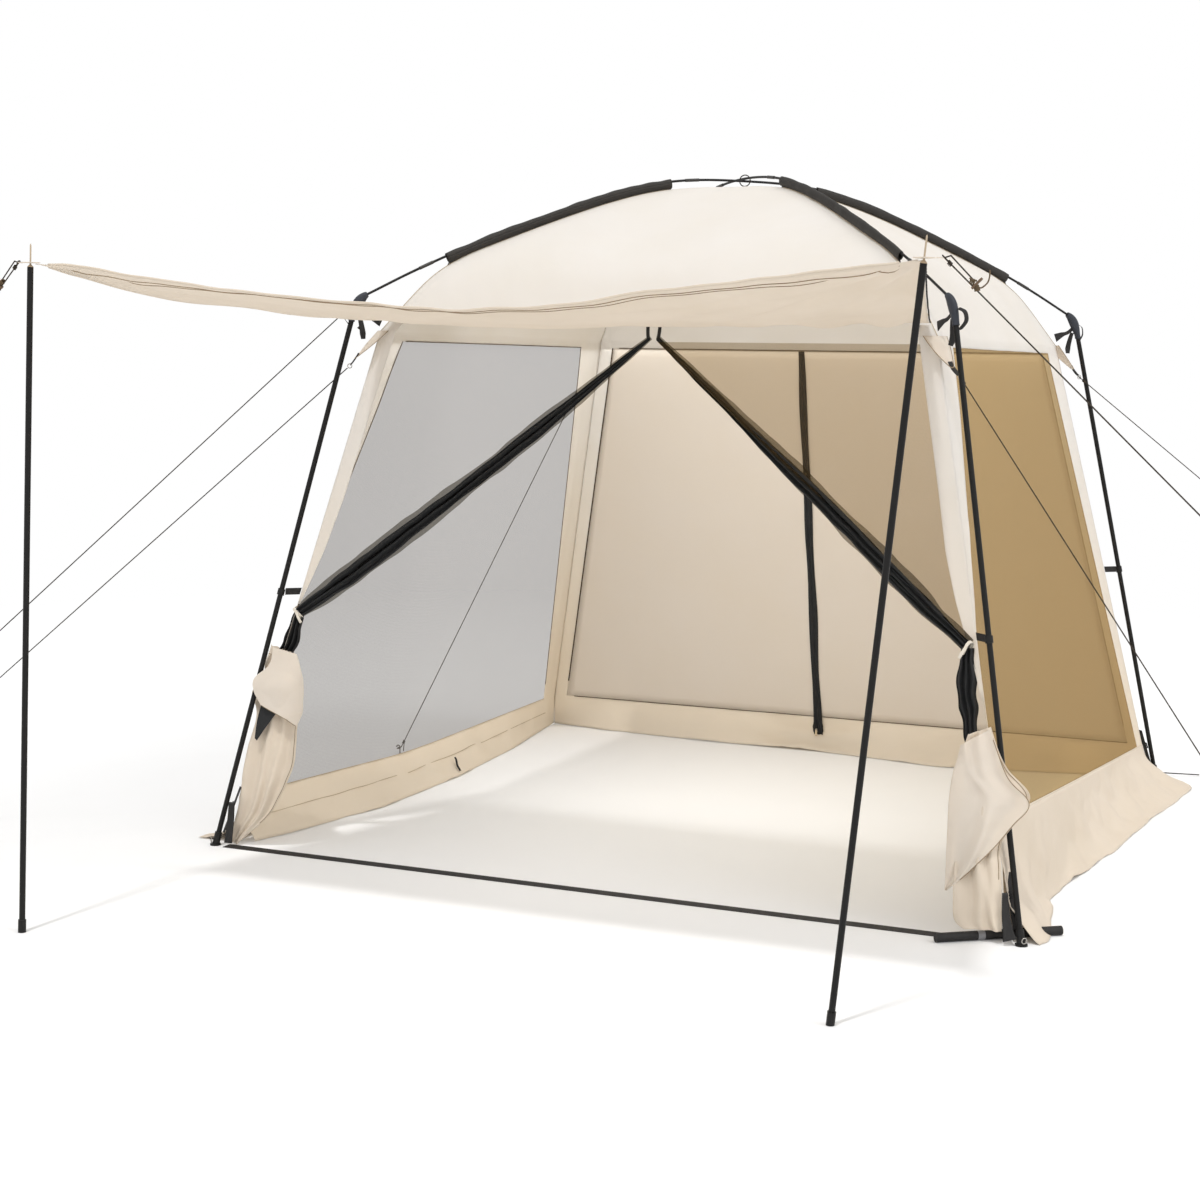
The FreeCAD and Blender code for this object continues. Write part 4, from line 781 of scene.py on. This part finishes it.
flaps = [corner_flap(corner) for corner in CORNERS]
flap_tabs, bindings, elbow_straps = [], [], []
for corner, grid in zip(CORNERS, flaps):
    turn = -corner[0] * corner[1]
    across = at(corner, 0, 0, 1.0)
    tab = corner_path(corner, [(1577, 1828, 0), (1588, 1809, 3 * turn), (1597, 1793, 13 * turn),
                               (1603, 1785, 20 * turn)], 14)
    flap_tabs.append(ribbon(tab, 17.0, across))
    outline = np.concatenate([grid[:, 0][::5], grid[:, -1][::-5]])
    bindings.append(dense(outline, 40) + at(corner, 1.2, 0))
    # an arm to the roof, a loose tail and a curled loop
    arm = corner_path(corner, [(1577, 1986), (1552, 1968), (1522, 1958), (1490, 1944)], 20)
    widths = np.concatenate([np.linspace(16, 15, 10), np.linspace(16, 36, 10)])
    elbow_straps.append(ribbon(arm, widths, (0.1, 0.05, 1.0)))
    tail = corner_path(corner, [(1577, 1968, 4), (1571, 1940, 9), (1566, 1905, 14),
                                (1562, 1880, 8)], 20)
    widths = np.concatenate([np.linspace(15, 22, 14), np.linspace(22, 16, 6)])
    elbow_straps.append(ribbon(tail, widths, (0.92, 0.39, 0.0)))
    curl = corner_path(corner, [(1611, 2002, 4), (1634, 1990, 14), (1640, 1962, 17),
                                (1622, 1938, 10), (1609, 1930, 3)], 24)
    elbow_straps.append(ribbon(curl, 14.0, at(corner, 0.35, 0.2, 1.0)))
sheets("corner_flap_cloth", flaps, LOOK["canvas"], thick=1.2, replaces=["roof_corner_flaps"],
       slot="cream_canvas")
sheets("corner_flap_webbing", flap_tabs, LOOK["webbing"], thick=1.6)
tubes("corner_flap_binding", bindings, 1.3, LOOK["hem_line"], sides=6)
sheets("elbow_webbing", elbow_straps, LOOK["webbing"], thick=1.4, replaces=["elbow_straps"],
       slot="black_webbing")

# ---------------------------------------------------------------- front net, gathered and tied
NET_X = 30.0                  # where the two halves of the net meet at the top


def tie_back(tie, path, sign):
    """Tape drawn tight round the bundle, and its hanging tail."""
    axis = unit(path[-1] - path[-4])
    wide = unit(np.cross(axis, [0, -1, 0]))
    outward = np.cross(wide, axis)
    ring = [tie + wide * 26 * math.cos(angle) + outward * 15 * math.sin(angle)
            + axis * (4 * math.sin(2 * angle))
            for angle in np.linspace(0, tau, 36, endpoint=False)]
    band = ribbon(ring + ring[:1], 11.0, axis)
    band[-1] = band[0]
    tail = dense([tie - wide * sign * 4 + outward * 17, tie + [-sign * 12, -22, -16],
                  tie + [-sign * 22, -20, -34]], 12)
    return [band, ribbon(tail, 11.0, (1, 0, 0.2))]


def door_net(label, sign, tie, widths, tail, tail_widths, tail_folds):
    """Half of the net: bundle from the top to the tie, its tail, a veil and the tie.
    widths and tail_widths are half widths; tail lists the points below the tie."""
    tie = np.array(tie)
    top = np.array([NET_X + sign * 15.0, -1037.0, 1893.0])
    middle = np.array([NET_X + sign * 600.0, -1143.0, 1418.0])
    path = dense([top, (top * 2 + middle) / 3 + [0, 8, -4], middle + [0, 0, -10],
                  (middle + tie * 2) / 3 + [0, 0, -9], tie], 130)
    widths = np.array(widths)
    bundle = [
        gathered(path, widths * 0.78, [2, 5, 7, 9, 10, 7], 60 + sign, turns=0.7 * sign,
                 folds=2.6),
        gathered(path + [0, 9, 3.0], widths * 0.7, [2, 5, 6, 8, 9, 7], 70 + sign,
                 turns=-0.5 * sign, folds=2.0)]
    veil = gathered(path + [0, 15, 5.0], widths * 1.08 + 1, [2, 6, 10, 12, 13, 8], 80 + sign,
                    turns=0.4 * sign, folds=1.8)
    bundle.append(gathered(dense([tie, *tail], 60), tail_widths, tail_folds, 90 + sign,
                           turns=0.3, folds=3.2))
    sheets("door_net_" + label + "_gathered", bundle, LOOK["bundle"], thick=0.7,
           replaces=["door_mesh_" + label], slot="door_net")
    sheets("door_net_" + label + "_veil", [veil], LOOK["net_bundle"], slot="door_net")
    sheets("door_tie_" + label, tie_back(tie, path, sign), LOOK["tie"], thick=1.2,
           replaces=["door_tie_backs"], slot="cream_canvas")


TAIL_FOLDS = [9, 11, 11, 9, 6, 3]
door_net("left", -1, tie=(-1272.0, -1284.0, 862.0), widths=[7, 16, 29, 37, 42, 22],
         tail=[(-1278, -1294, 815), (-1292, -1300, 755), (-1322, -1308, 690),
               (-1362, -1316, 560), (-1398, -1330, 470)],
         tail_widths=[20, 27, 29, 30, 26, 10], tail_folds=TAIL_FOLDS)
door_net("right", 1, tie=(1246.0, -1291.0, 905.0), widths=[7, 12, 23, 35, 31, 20],
         tail=[(1250, -1300, 820), (1257, -1306, 745), (1266, -1312, 690),
               (1275, -1330, 622), (1292, -1352, 560)],
         tail_widths=[20, 30, 33, 28, 20, 8], tail_folds=TAIL_FOLDS)

# the part of the right net that stays spread between the eave, the bundle and the column
down = np.linspace(0, 1, 60)
share = np.linspace(0, 1, 40)
inner_x = NET_X + 20
inner = np.stack([inner_x + (1226 - inner_x) * down, -1046 - 194 * down, 1882 - 969 * down],
                 axis=1)
column_z = 1884 - (1884 - 915) * down
outer = np.stack([wall(column_z) - np.interp(column_z, *FRONT_RIGHT) + 2, 2 - wall(column_z),
                  column_z], axis=1)
spread = inner[:, None] * (1 - share[:, None]) + outer[:, None] * share[:, None]
spread[..., 1] += ripple(99, 14, 1.0, 4.0)(spread) * 5.0 * np.sin(share * pi)
sheets("door_net_right_spread", [spread], LOOK["net_door"], slot="door_net")

# ribbons that hold the top of the gathered net
ribbons = []
for offset in (-22, 22):
    path = dense([(NET_X + offset, -1029, 1952), (NET_X + offset * 1.02, -1031, 1930),
                  (NET_X + offset * 0.95, -1034, 1908), (NET_X + offset * 0.8, -1036, 1890)],
                 20)
    ribbons.append(ribbon(path, 13.0, (1, 0, 0)))
sheets("door_ribbons", ribbons, LOOK["webbing"], thick=1.2, replaces=["door_top_ribbons"],
       slot="cream_canvas")

# ---------------------------------------------------------------- flaps at the front feet
# Each row, from the top down: point on the left edge, point on the right edge.
FLAP_LEFT = [
    ((-1374, -1291, 738), (-1271, -1297, 712)), ((-1393, -1317, 619), (-1245, -1318, 615)),
    ((-1439, -1329, 564), (-1232, -1340, 513)), ((-1406, -1346, 485), (-1226, -1357, 434)),
    ((-1429, -1373, 362), (-1228, -1381, 325)), ((-1440, -1402, 231), (-1272, -1409, 197)),
    ((-1450, -1426, 121), (-1316, -1428, 110)), ((-1460, -1452, 6), (-1425, -1452, 4))]
FLAP_RIGHT = [
    ((1284, -1390, 641), (1349, -1383, 668)), ((1271, -1415, 543), (1415, -1414, 543)),
    ((1273, -1438, 449), (1495, -1433, 470)), ((1275, -1460, 366), (1469, -1449, 406)),
    ((1280, -1482, 280), (1423, -1472, 319)), ((1282, -1500, 188), (1425, -1493, 234)),
    ((1287, -1512, 105), (1435, -1508, 144)), ((1296, -1516, 60), (1440, -1512, 75)),
    ((1325, -1516, 38), (1440, -1512, 42))]
CUFF = [
    ((-1337, -1352, 741), (-1238, -1352, 721)), ((-1348, -1362, 674), (-1210, -1362, 661)),
    ((-1400, -1376, 623), (-1193, -1376, 590)), ((-1400, -1384, 575), (-1189, -1384, 517)),
    ((-1375, -1376, 527), (-1222, -1376, 462))]
NET_END = [
    ((-1383, -1362, 539), (-1301, -1362, 530)), ((-1400, -1364, 474), (-1339, -1364, 479)),
    ((-1412, -1366, 401), (-1403, -1366, 394))]
OUTER_RIGHT = [
    ((1262, -1410, 611), (1364, -1410, 668)), ((1250, -1424, 536), (1418, -1424, 530)),
    ((1248, -1440, 470), (1500, -1444, 452)), ((1247, -1458, 391), (1455, -1470, 376)),
    ((1248, -1478, 262), (1372, -1488, 268)), ((1255, -1490, 152), (1264, -1494, 154))]
SIDE_SHIFT = 0.61             # x gained per step forward on the left side


def flap_cloth(rows, seed, depth, folds, lift=0.0):
    """Cloth between two edges, with pleats gathered at the top that open as they fall."""
    left = dense([row[0] for row in rows], 90)[:, None]
    right = dense([row[1] for row in rows], 90)[:, None]
    down = np.linspace(0, 1, 90)[:, None]
    over = np.linspace(0, 1, 60)[None, :]
    grid = left * (1 - over[..., None]) + right * over[..., None]
    broad = ripple(seed, 16, 3.0, 9.0)
    fine = ripple(seed + 1, 16, 9.0, 20.0)
    size = depth * (0.55 + 0.45 * np.sin(down * pi)) * (1 - 0.45 * down)
    pleats = np.sin(tau * (folds * over ** (1 + 0.5 * down) + 0.35 * down
                           + 0.12 * np.sin(5 * down)))
    diagonal = depth * 0.9 * bell(over, 0.15 + 0.75 * down, 0.10)
    forward = (size * pleats * (1 - 0.4 * over) + diagonal + broad(grid) * depth * 0.35
               + fine(grid) * depth * 0.12)
    grid[..., 1] -= forward + lift
    grid[..., 0] += broad(grid + 300.0) * 4.0
    return grid


def before_left_leg(grid, gap, roll=0.0):
    """Bring a cloth forward and inward to clear the left leg; roll swells it at mid height."""
    z = grid[..., 2]
    aim = -leg_front(z) - gap - roll * bell(z, 600.0, 48.0)
    step = grid[..., 1] - np.minimum(grid[..., 1], aim)
    grid[..., 1] -= step
    grid[..., 0] += SIDE_SHIFT * step
    return grid


def left_flap():
    """Left flap; it swells forward below the tie and folds over itself."""
    grid = flap_cloth(FLAP_LEFT, seed=120, depth=13.0, folds=3.2, lift=4.0)
    grid[..., 2] = np.maximum(grid[..., 2], 4.0)
    x, z = grid[..., 0], grid[..., 2]
    swell = bell(z, 665.0, 42.0) * bell(x, -1345.0, 75.0)
    push = 26.0 * smooth01((740.0 - z) / 120.0) * smooth01(z / 260.0) + 20.0 * swell
    grid[..., 1] = np.maximum(grid[..., 1] - push, -1476.0)
    grid[..., 0] += SIDE_SHIFT * push - 14.0 * swell
    return grid


def right_flap():
    """Right flap, held in front of the leg over the leg's width."""
    grid = flap_cloth(FLAP_RIGHT, seed=130, depth=14.0, folds=2.6, lift=2.0)
    x, y, z = grid[..., 0], grid[..., 1], grid[..., 2]
    leg = leg_front(z)
    near_leg = (np.exp(-((x - leg) / 42.0) ** 4) * smooth01((z - 335.0) / 25.0)
                * smooth01((640.0 - z) / 40.0))
    grid[..., 1] = y * (1 - near_leg) + np.minimum(y, -(leg + 9.5 + 8.0)) * near_leg
    grid[..., 2] = np.maximum(z, 36.0)
    return grid


flap_left, flap_right = left_flap(), right_flap()
sheets("door_flap_left", [flap_left], LOOK["hem"], thick=1.2, replaces=["door_hem_left"],
       slot="cream_canvas")
sheets("door_flap_right", [flap_right], LOOK["hem"], thick=1.2, replaces=["door_hem_right"],
       slot="cream_canvas")

# cuff folded over the top of the left flap, with the dark net showing under it
cuff = before_left_leg(flap_cloth(CUFF, seed=140, depth=5.0, folds=1.4), gap=15.0, roll=12.0)
cuff[..., 1] -= np.abs(ripple(141, 18, 5.0, 14.0)(cuff)) * 4.0
net_end = before_left_leg(flap_cloth(NET_END, seed=142, depth=2.0, folds=1.2), gap=3.0)
sheets("door_flap_left_cuff", [cuff], LOOK["canvas"], thick=1.2, slot="cream_canvas")
sheets("door_net_left_end", [net_end], LOOK["bundle"], thick=0.7, slot="door_net")
tubes("door_cuff_edge", [cuff[-1, 2:-2] + [0, -1.0, 0]], 1.2, LOOK["hem_line"], sides=6)

# outer layer of the right flap, with its loose pointed corner and slanting edge
outer = flap_cloth(OUTER_RIGHT, seed=134, depth=10.0, folds=2.0, lift=16.0)
outer[..., 1] = np.minimum(outer[..., 1], -leg_front(outer[..., 2]) - 21.0)
sheets("door_flap_right_outer", [outer], LOOK["canvas"], thick=1.2, slot="cream_canvas")
tubes("door_flap_edge", [outer[4:-6, -1] + [0, -1.0, 0]], 1.5, LOOK["hem_line"], sides=6)
flap_seams = [flap_left[3, 2:-2], flap_right[3, 2:-2], flap_right[4:60, -4],
              flap_left[4:80, -3]]
tubes("door_flap_seams", [line + [0, -1.4, 0] for line in flap_seams], 1.1, LOOK["hem_line"],
      sides=6)


# ---------------------------------------------------------------- rear zip strip
def rear_strip():
    """Rolled net down the rear wall, ending in two lobes."""
    low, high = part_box("rear_zip_strip")
    middle_x = (low.x + high.x) * 500.0
    top, bottom = high.z * 1000.0, low.z * 1000.0
    z = np.linspace(top, bottom, 90)
    path = np.stack([middle_x - 6.0 + 14.0 * (top - z) / (top - bottom)
                     + 1.5 * np.sin(z / 90.0), wall(z) - 5.0, z], axis=1)
    strip = gathered(path, [15, 17, 18, 19, 20, 19, 20], [2, 2.2, 2.5, 3, 2.5, 2.2, 3], 150,
                     turns=1.4, folds=2.2, across=26)
    strip[..., 1] = np.minimum(strip[..., 1], wall(strip[..., 2]) - 1.4)
    grids = [strip]
    # x from the lobes' middle, height the wall is taken at, inset from the wall, z
    stations = [(6, 150, 4, 150), (14, 110, 7, 112), (15, 80, 6, 82), (9, 64, 5, 66)]
    for sign in (-1, 1):
        path = dense([(middle_x + 8 + sign * x, wall(wall_z) - inset, z)
                      for x, wall_z, inset, z in stations], 16)
        grids.append(gathered(path, [7, 10, 10, 6], [2, 3, 3, 2], 160 + sign, folds=1.5,
                              across=14))
    sheets("rear_strip_cloth", grids, LOOK["bundle"], thick=0.8, replaces=["rear_zip_strip"],
           slot="zip_tape")


rear_strip()

# ---------------------------------------------------------------- awning
grommet_low, grommet_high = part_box("awning_grommets")
TIP_X = (grommet_high.x - grommet_low.x) * 500.0 - 9.0         # front corners
TIP_REACH = -((grommet_low.y + grommet_high.y) / 2 - CENTRE_Y) * 1000.0
TIP_Z = (grommet_low.z + grommet_high.z) * 500.0
HEAD_X, HEAD_REACH, HEAD_Z = 1020.0, 1034.0, 1955.0            # edge at the shelter
GROMMET_HOLE = 21.0
EDGE_STOP = 36.0              # side edges stop this far from the tips


def awning_grid():
    """Awning cloth: over runs -1 to 1 left to right, out 0 to 1 from the shelter."""
    over, out = np.meshgrid(np.linspace(-1, 1, 171), np.linspace(0, 1, 91), indexing="ij")
    x = over * HEAD_X * (1 - out) + over * TIP_X * out
    y = -HEAD_REACH * (1 - out) + (-TIP_REACH + 55.0 * (1 - over ** 2)) * out
    front_z = TIP_Z - 129.0 * (1 - np.abs(over) ** 1.6)
    z = (HEAD_Z * (1 - out) + front_z * out
         - 42.0 * np.sin(pi * out) * (1 - 0.25 * over ** 2))
    grid = np.stack([x, y, z], axis=-1)
    # creases fan out from both tips
    relief = np.zeros_like(x)
    distances = []
    for sign in (-1, 1):
        from_x, from_y = sign * TIP_X - x, y + TIP_REACH
        distance = np.hypot(from_x, from_y)
        distances.append(distance)
        angle = np.arctan2(from_y, sign * from_x)
        relief += (11.0 * bell(distance, 330.0, 420.0)
                   * np.sin(angle * 17.0 + 0.8 * np.sin(distance / 260.0))
                   * smooth01(distance / 160.0))
        relief += 5.0 * bell(distance, 700.0, 500.0) * np.sin(angle * 31.0 + 1.3)
    relief += 6.0 * ripple(201, 16, 0.8, 2.4)(grid)
    relief += 3.0 * ripple(202, 22, 3.0, 8.0)(grid * [1.0, 0.45, 1.0])
    # soft dip near the eave on the right, and pleats towards both sides
    relief += -20.0 * bell(out, 0.16, 0.12) * bell(over, 0.80, 0.16)
    relief += (9.0 * bell(out, 0.22, 0.2) * smooth01((np.abs(over) - 0.35) / 0.4)
               * np.sin(over * 34.0))
    tip_fade = np.clip(np.minimum(*distances) / 120.0, 0, 1)
    grid[..., 2] += relief * np.clip(out / 0.14, 0, 1) * tip_fade
    # step of the double hem along the front edge
    grid[..., 2] -= 1.6 * smooth01((out - 0.975) / 0.01)
    return grid


def awning_side(row, offset, count):
    """Line beside one side edge, short of the tip."""
    line = dense(awning[row, 2:-3:4] + [offset, 0, 0.4], count)
    return line[line[:, 1] > -TIP_REACH + EDGE_STOP]


awning = awning_grid()
cells = (awning[:-1, :-1] + awning[1:, 1:]) / 2
solid_cells = np.ones(cells.shape[:2], bool)
for sign in (-1, 1):
    from_tip = np.hypot(cells[..., 0] - sign * TIP_X, cells[..., 1] + TIP_REACH)
    solid_cells &= from_tip > GROMMET_HOLE
sheets("awning_cloth", [awning], LOOK["awning"], masks=[solid_cells], body="awning", thick=1.0,
       replaces=["awning_panel"], slot="awning_canvas")
front_edge = awning[4:-4, -1] + [0, -4.0, 0.4]
tubes("awning_hem_cord", [front_edge[np.abs(front_edge[:, 0]) < TIP_X - 32]], 3.4, LOOK["hem"],
      body="awning", replaces=["awning_front_hem"], slot="awning_canvas")
tubes("awning_hem_stitch", [awning[4:-4, -3] + [0, 0, -1.4], awning[4:-4, -5] + [0, 0, -1.2]],
      1.5, LOOK["hem_line"], sides=6, body="awning")
right_edge = awning_side(-1, 4.0, 260)
teeth = [right_edge[k:k + 3] for k in range(0, len(right_edge) - 4, 4)]
tubes("awning_zip_teeth", teeth, 2.6, LOOK["black"], sides=6, body="awning",
      replaces=["awning_zip_edges"], slot="black_webbing")
# on the left the zip is hidden under a rolled edge of cloth
tubes("awning_edge_cord", [awning_side(0, -4.0, 120)], 3.0, LOOK["awning"], body="awning",
      slot="black_webbing")


# ---------------------------------------------------------------- knots and loops of the lines
def islands(node):
    """Vertices of each separate solid of a CAD node, in design millimetres."""
    thing = frame["nodes"][node]
    mesh = thing.data
    points = np.zeros(len(mesh.vertices) * 3)
    mesh.vertices.foreach_get("co", points)
    matrix = np.array(thing.matrix_world)
    points = points.reshape(-1, 3) @ matrix[:3, :3].T + matrix[:3, 3]
    points[:, 1] -= CENTRE_Y
    points *= 1000.0
    edges = np.zeros(len(mesh.edges) * 2, int)
    mesh.edges.foreach_get("vertices", edges)
    first, second = edges.reshape(-1, 2).T
    # every vertex takes the lowest index it is joined to
    root = np.arange(len(points))
    while True:
        lowest = np.minimum(root[first], root[second])
        joined = root.copy()
        np.minimum.at(joined, first, lowest)
        np.minimum.at(joined, second, lowest)
        joined = joined[joined]
        if (joined == root).all():
            break
        root = joined
    # pieces whose boxes lie close together are one solid drawn face by face
    merged = []
    for group in [points[root == k] for k in np.unique(root)]:
        low, high = group.min(0) - 1.0, group.max(0) + 1.0
        i = 0
        while i < len(merged):
            other, other_low, other_high = merged[i]
            if (low <= other_high).all() and (other_low <= high).all():
                group = np.vstack([group, other])
                low, high = group.min(0) - 1.0, group.max(0) + 1.0
                merged.pop(i)
                i = 0
            else:
                i += 1
        merged.append((group, low, high))
    return [entry[0] for entry in merged]


def line_ends(points):
    """Upper and lower end of a straight line's vertices."""
    centre = points.mean(0)
    axis = np.linalg.svd(points - centre, full_matrices=False)[2][0]
    place = (points - centre) @ axis
    ends = centre + axis * place.min(), centre + axis * place.max()
    return ends if ends[0][2] > ends[1][2] else ends[::-1]


def knot(centre, direction, radius=4.2, turns=3.2, length=15.0):
    """Cord coiled round a line."""
    direction = unit(direction)
    level = unit(np.cross(direction, [0, 0, 1.0]))
    other = np.cross(level, direction)
    share = np.linspace(0, 1, int(turns * 14))
    angle = share * turns * tau
    size = radius * (1 + 0.18 * np.sin(3 * angle))
    return (centre + direction * ((share - 0.5) * length)[:, None]
            + level * (np.cos(angle) * size)[:, None] + other * (np.sin(angle) * size)[:, None])


def cord_loop(centre, toward, radius, pull):
    """Cord loop round a point, pulled out towards another."""
    direction = unit(toward - centre)
    level = unit(np.cross(direction, [0, 0, 1.0]))
    angle = np.linspace(0.0, tau, 30)
    ahead = np.cos(angle)
    stretch = np.where(ahead > 0, radius + pull * ahead ** 3, radius)
    return (centre + direction * (ahead * stretch)[:, None]
            + level * (np.sin(angle) * radius)[:, None])


rings = [group.mean(0) for group in islands("roof_corner_rings")]
stakes = []
for group in islands("stakes"):
    above = group[group[:, 2] > 10]
    stakes.append(np.array([above[:, 0].mean(), above[:, 1].mean(), 27.0]))
knots = []
for group in islands("guy_lines"):
    top, low = line_ends(group)
    along = unit(low - top)
    knots.append(knot(top + along * 16.0, along))
    knots.append(knot(low - along * 26.0, along))
    if not (low[0] < 0 and low[1] > 0):      # all but the rear left line
        knots.append(knot(low - along * 240.0, along, radius=4.0, turns=2.2, length=11.0))
    ring = min(rings, key=lambda point: np.linalg.norm(point - top))
    if np.linalg.norm(ring - top) < 40:
        knots.append(cord_loop(ring, top, radius=3.6, pull=14.0))
    stake = min(stakes, key=lambda point: np.linalg.norm((point - low)[:2]))
    knots.append(cord_loop(stake, low, radius=6.0, pull=8.0))
    knots.append(dense([low - along * 34.0, low - along * 26.0 + [6, -6, 6],
                        low - along * 12.0 + [14, -12, -2],
                        low - along * 4.0 + [20, -20, -18]], 16))
tubes("line_knots", knots, 1.9, LOOK["cord"], sides=7)

for side, sign in (("left", -1), ("right", 1)):
    tip = np.array([sign * TIP_X, -TIP_REACH, TIP_Z])
    low = np.array([sign * 3560.0, -2377.0, 26.0])
    level = unit((low - tip) * [1, 1, 0])
    start = tip + level * 51.0
    along = unit(low - start)
    up = np.cross(unit(np.cross(along, [0, 0, 1.0])), along)
    eye = [cord_loop(start - level * 2.0 + [0, 0, 3.0], start + along * 30, radius=4.0,
                     pull=10.0),
           knot(start + along * 20.0, along, radius=4.4, turns=3.0, length=13.0),
           knot(low - along * 30.0, along)]
    tubes("awning_line_knots_" + side, eye, 1.9, LOOK["cord"], sides=7,
          body="awning_guy_" + side)
    # the doubled cord is knotted at the runner and its end stands up
    end = [start + along * ahead + up * rise
           for ahead, rise in ((116, 6), (122, 16), (122, 34), (112, 50), (104, 58))]
    wrap = [knot(start + along * 93.0 + up * 8.0, along + 0.4 * up, radius=6.5, turns=3.4,
                 length=16.0),
            knot(start + along * 114.0 + up * 4.0, along - 0.5 * up, radius=6.0, turns=3.2,
                 length=13.0),
            dense(end, 26)]
    tubes("runner_knots_" + side, wrap, 2.0, LOOK["cord_light"], sides=7,
          body="line_runner_" + side)

# ---------------------------------------------------------------- webbing at the ground
# broad webbing at the front feet, right then left: points, widths
FOOT_STRAPS = [
    ([(1443, -1506, 165), (1450, -1512, 96), (1461, -1520, 42), (1468, -1523, 18)],
     [18, 26, 34, 46]),
    ([(-1438, -1484, 165), (-1441, -1488, 97), (-1446, -1494, 34), (-1447, -1496, 12)],
     [22, 25, 29, 30])]
straps = [ribbon(dense(points, 24), np.interp(np.linspace(0, 3, 24), range(4), widths),
                 (0.92, 0.39, 0.0), across=7, curl=2.0) for points, widths in FOOT_STRAPS]
sheets("foot_webbing_front", straps, LOOK["bar"], thick=1.8)

# small curled tape on the left hem
curl = dense([(-1346, 136, 60), (-1336, 128, 50), (-1318, 104, 32), (-1300, 86, 22),
              (-1288, 74, 16)], 18) + [9.0, 0, 4.0]
sheets("hem_tape", [ribbon(curl, 9.0, (0.3, 1, 0.2))], LOOK["webbing"], thick=1.4)


# ---------------------------------------------------------------- floor
def floor_material():
    """Pale floor that fades into plain white away from the shelter."""
    material, graph = new_material("floor_pale", use_uv=False)
    shade = graph.mix(graph.noise(scale=3.0), (0.86, 0.86, 0.86, 1), (0.88, 0.88, 0.88, 1))
    near = graph.add("BsdfDiffuse", {"Color": shade})
    far = graph.add("Emission", {"Strength": 1.0})
    position = graph.add("NewGeometry", {}, out="Position")
    distance = graph.add("VectorMath", {0: position, 1: (0.0, CENTRE_Y, 0.0)}, out="Value",
                         operation="DISTANCE")
    graph.surface(graph.mix_shader(graph.remap(distance, start=3.2, end=8.0), near, far))
    return material


bpy.ops.mesh.primitive_plane_add(size=120.0, location=(0, 20.0, -0.0005))
floor = bpy.context.object
floor.name = "floor"
floor.data.materials.append(floor_material())

# ---------------------------------------------------------------- world and lights
scene = bpy.context.scene
world = bpy.data.worlds.new("studio")
scene.world = world
world.use_nodes = True
background = world.node_tree.nodes["Background"]
background.inputs["Color"].default_value = (1, 1, 1, 1)
background.inputs["Strength"].default_value = 1.0
# the backdrop is seen white while it lights a little less
backdrop = Graph(world.node_tree)
seen = backdrop.add("LightPath", {}, out="Is Camera Ray")
world.node_tree.links.new(backdrop.remap(seen, low=0.76), background.inputs["Strength"])


def add_light(name, kind, direction, energy):
    """Light aimed along a direction, not yet staged."""
    light = bpy.data.lights.new(name, kind)
    light.energy = energy
    lamp = bpy.data.objects.new(name, light)
    scene.collection.objects.link(lamp)
    lamp.rotation_euler = Vector(direction).to_track_quat("-Z", "Y").to_euler()
    return lamp


def add_sun(name, direction, energy, angle):
    lamp = add_light(name, "SUN", direction, energy)
    lamp.data.angle = math.radians(angle)


def add_area(name, place, direction, width, height, energy, colour=(1, 1, 1)):
    """Area light hidden from the camera; place in mm, width and height in m."""
    lamp = add_light(name, "AREA", direction, energy)
    lamp.data.shape = "RECTANGLE"
    lamp.data.size = width
    lamp.data.size_y = height
    lamp.data.color = colour
    lamp.location = to_row(place)
    lamp.visible_camera = False


add_sun("key", direction=(0.025, 0.378, -1.0), energy=1.2, angle=3.0)
add_sun("fill_front", direction=(0.1, 1.0, -0.22), energy=0.22, angle=50.0)
add_sun("fill_right", direction=(-0.85, 0.3, -0.45), energy=0.38, angle=50.0)
add_sun("fill_roof_right", direction=(-0.75, 0.05, -0.66), energy=0.5, angle=30.0)
add_area("fill_inside", place=(0, 60, 1870), direction=(0, 0, -1), width=2.1, height=2.1,
         energy=18.0, colour=(0.94, 0.975, 1.0))
add_area("fill_rear_wall", place=(0, -520, 1050), direction=(0, 1, 0.0), width=1.9, height=1.4,
         energy=7.5)

# ---------------------------------------------------------------- camera
# turned left from +Y, tilted down, rolled about the line of sight
turn, tilt, roll = math.radians(22.8989), math.radians(6.59116), math.radians(0.927887)
ahead = Vector((-math.sin(turn) * math.cos(tilt), math.cos(turn) * math.cos(tilt),
                -math.sin(tilt)))
level = ahead.cross(Vector((0, 0, 1))).normalized()
upright = level.cross(ahead).normalized()
camera_x = math.cos(roll) * level + math.sin(roll) * upright
camera_y = -math.sin(roll) * level + math.cos(roll) * upright
place = Vector((2.69547 * FOOT_SCALE, -7.79092 * FOOT_SCALE + CENTRE_Y, 1.79934 * FOOT_SCALE))
lens = bpy.data.cameras.new("camera")
lens.sensor_width = 36.0
lens.lens = 61.0962
lens.clip_end = 200.0
camera = bpy.data.objects.new("camera", lens)
scene.collection.objects.link(camera)
camera.matrix_world = Matrix((*zip(camera_x, camera_y, -ahead, place), (0, 0, 0, 1)))
scene.camera = camera
scene.view_settings.view_transform = "Standard"
scene.view_settings.look = "None"
scene.view_settings.exposure = 0.0
scene.view_settings.gamma = 1.0
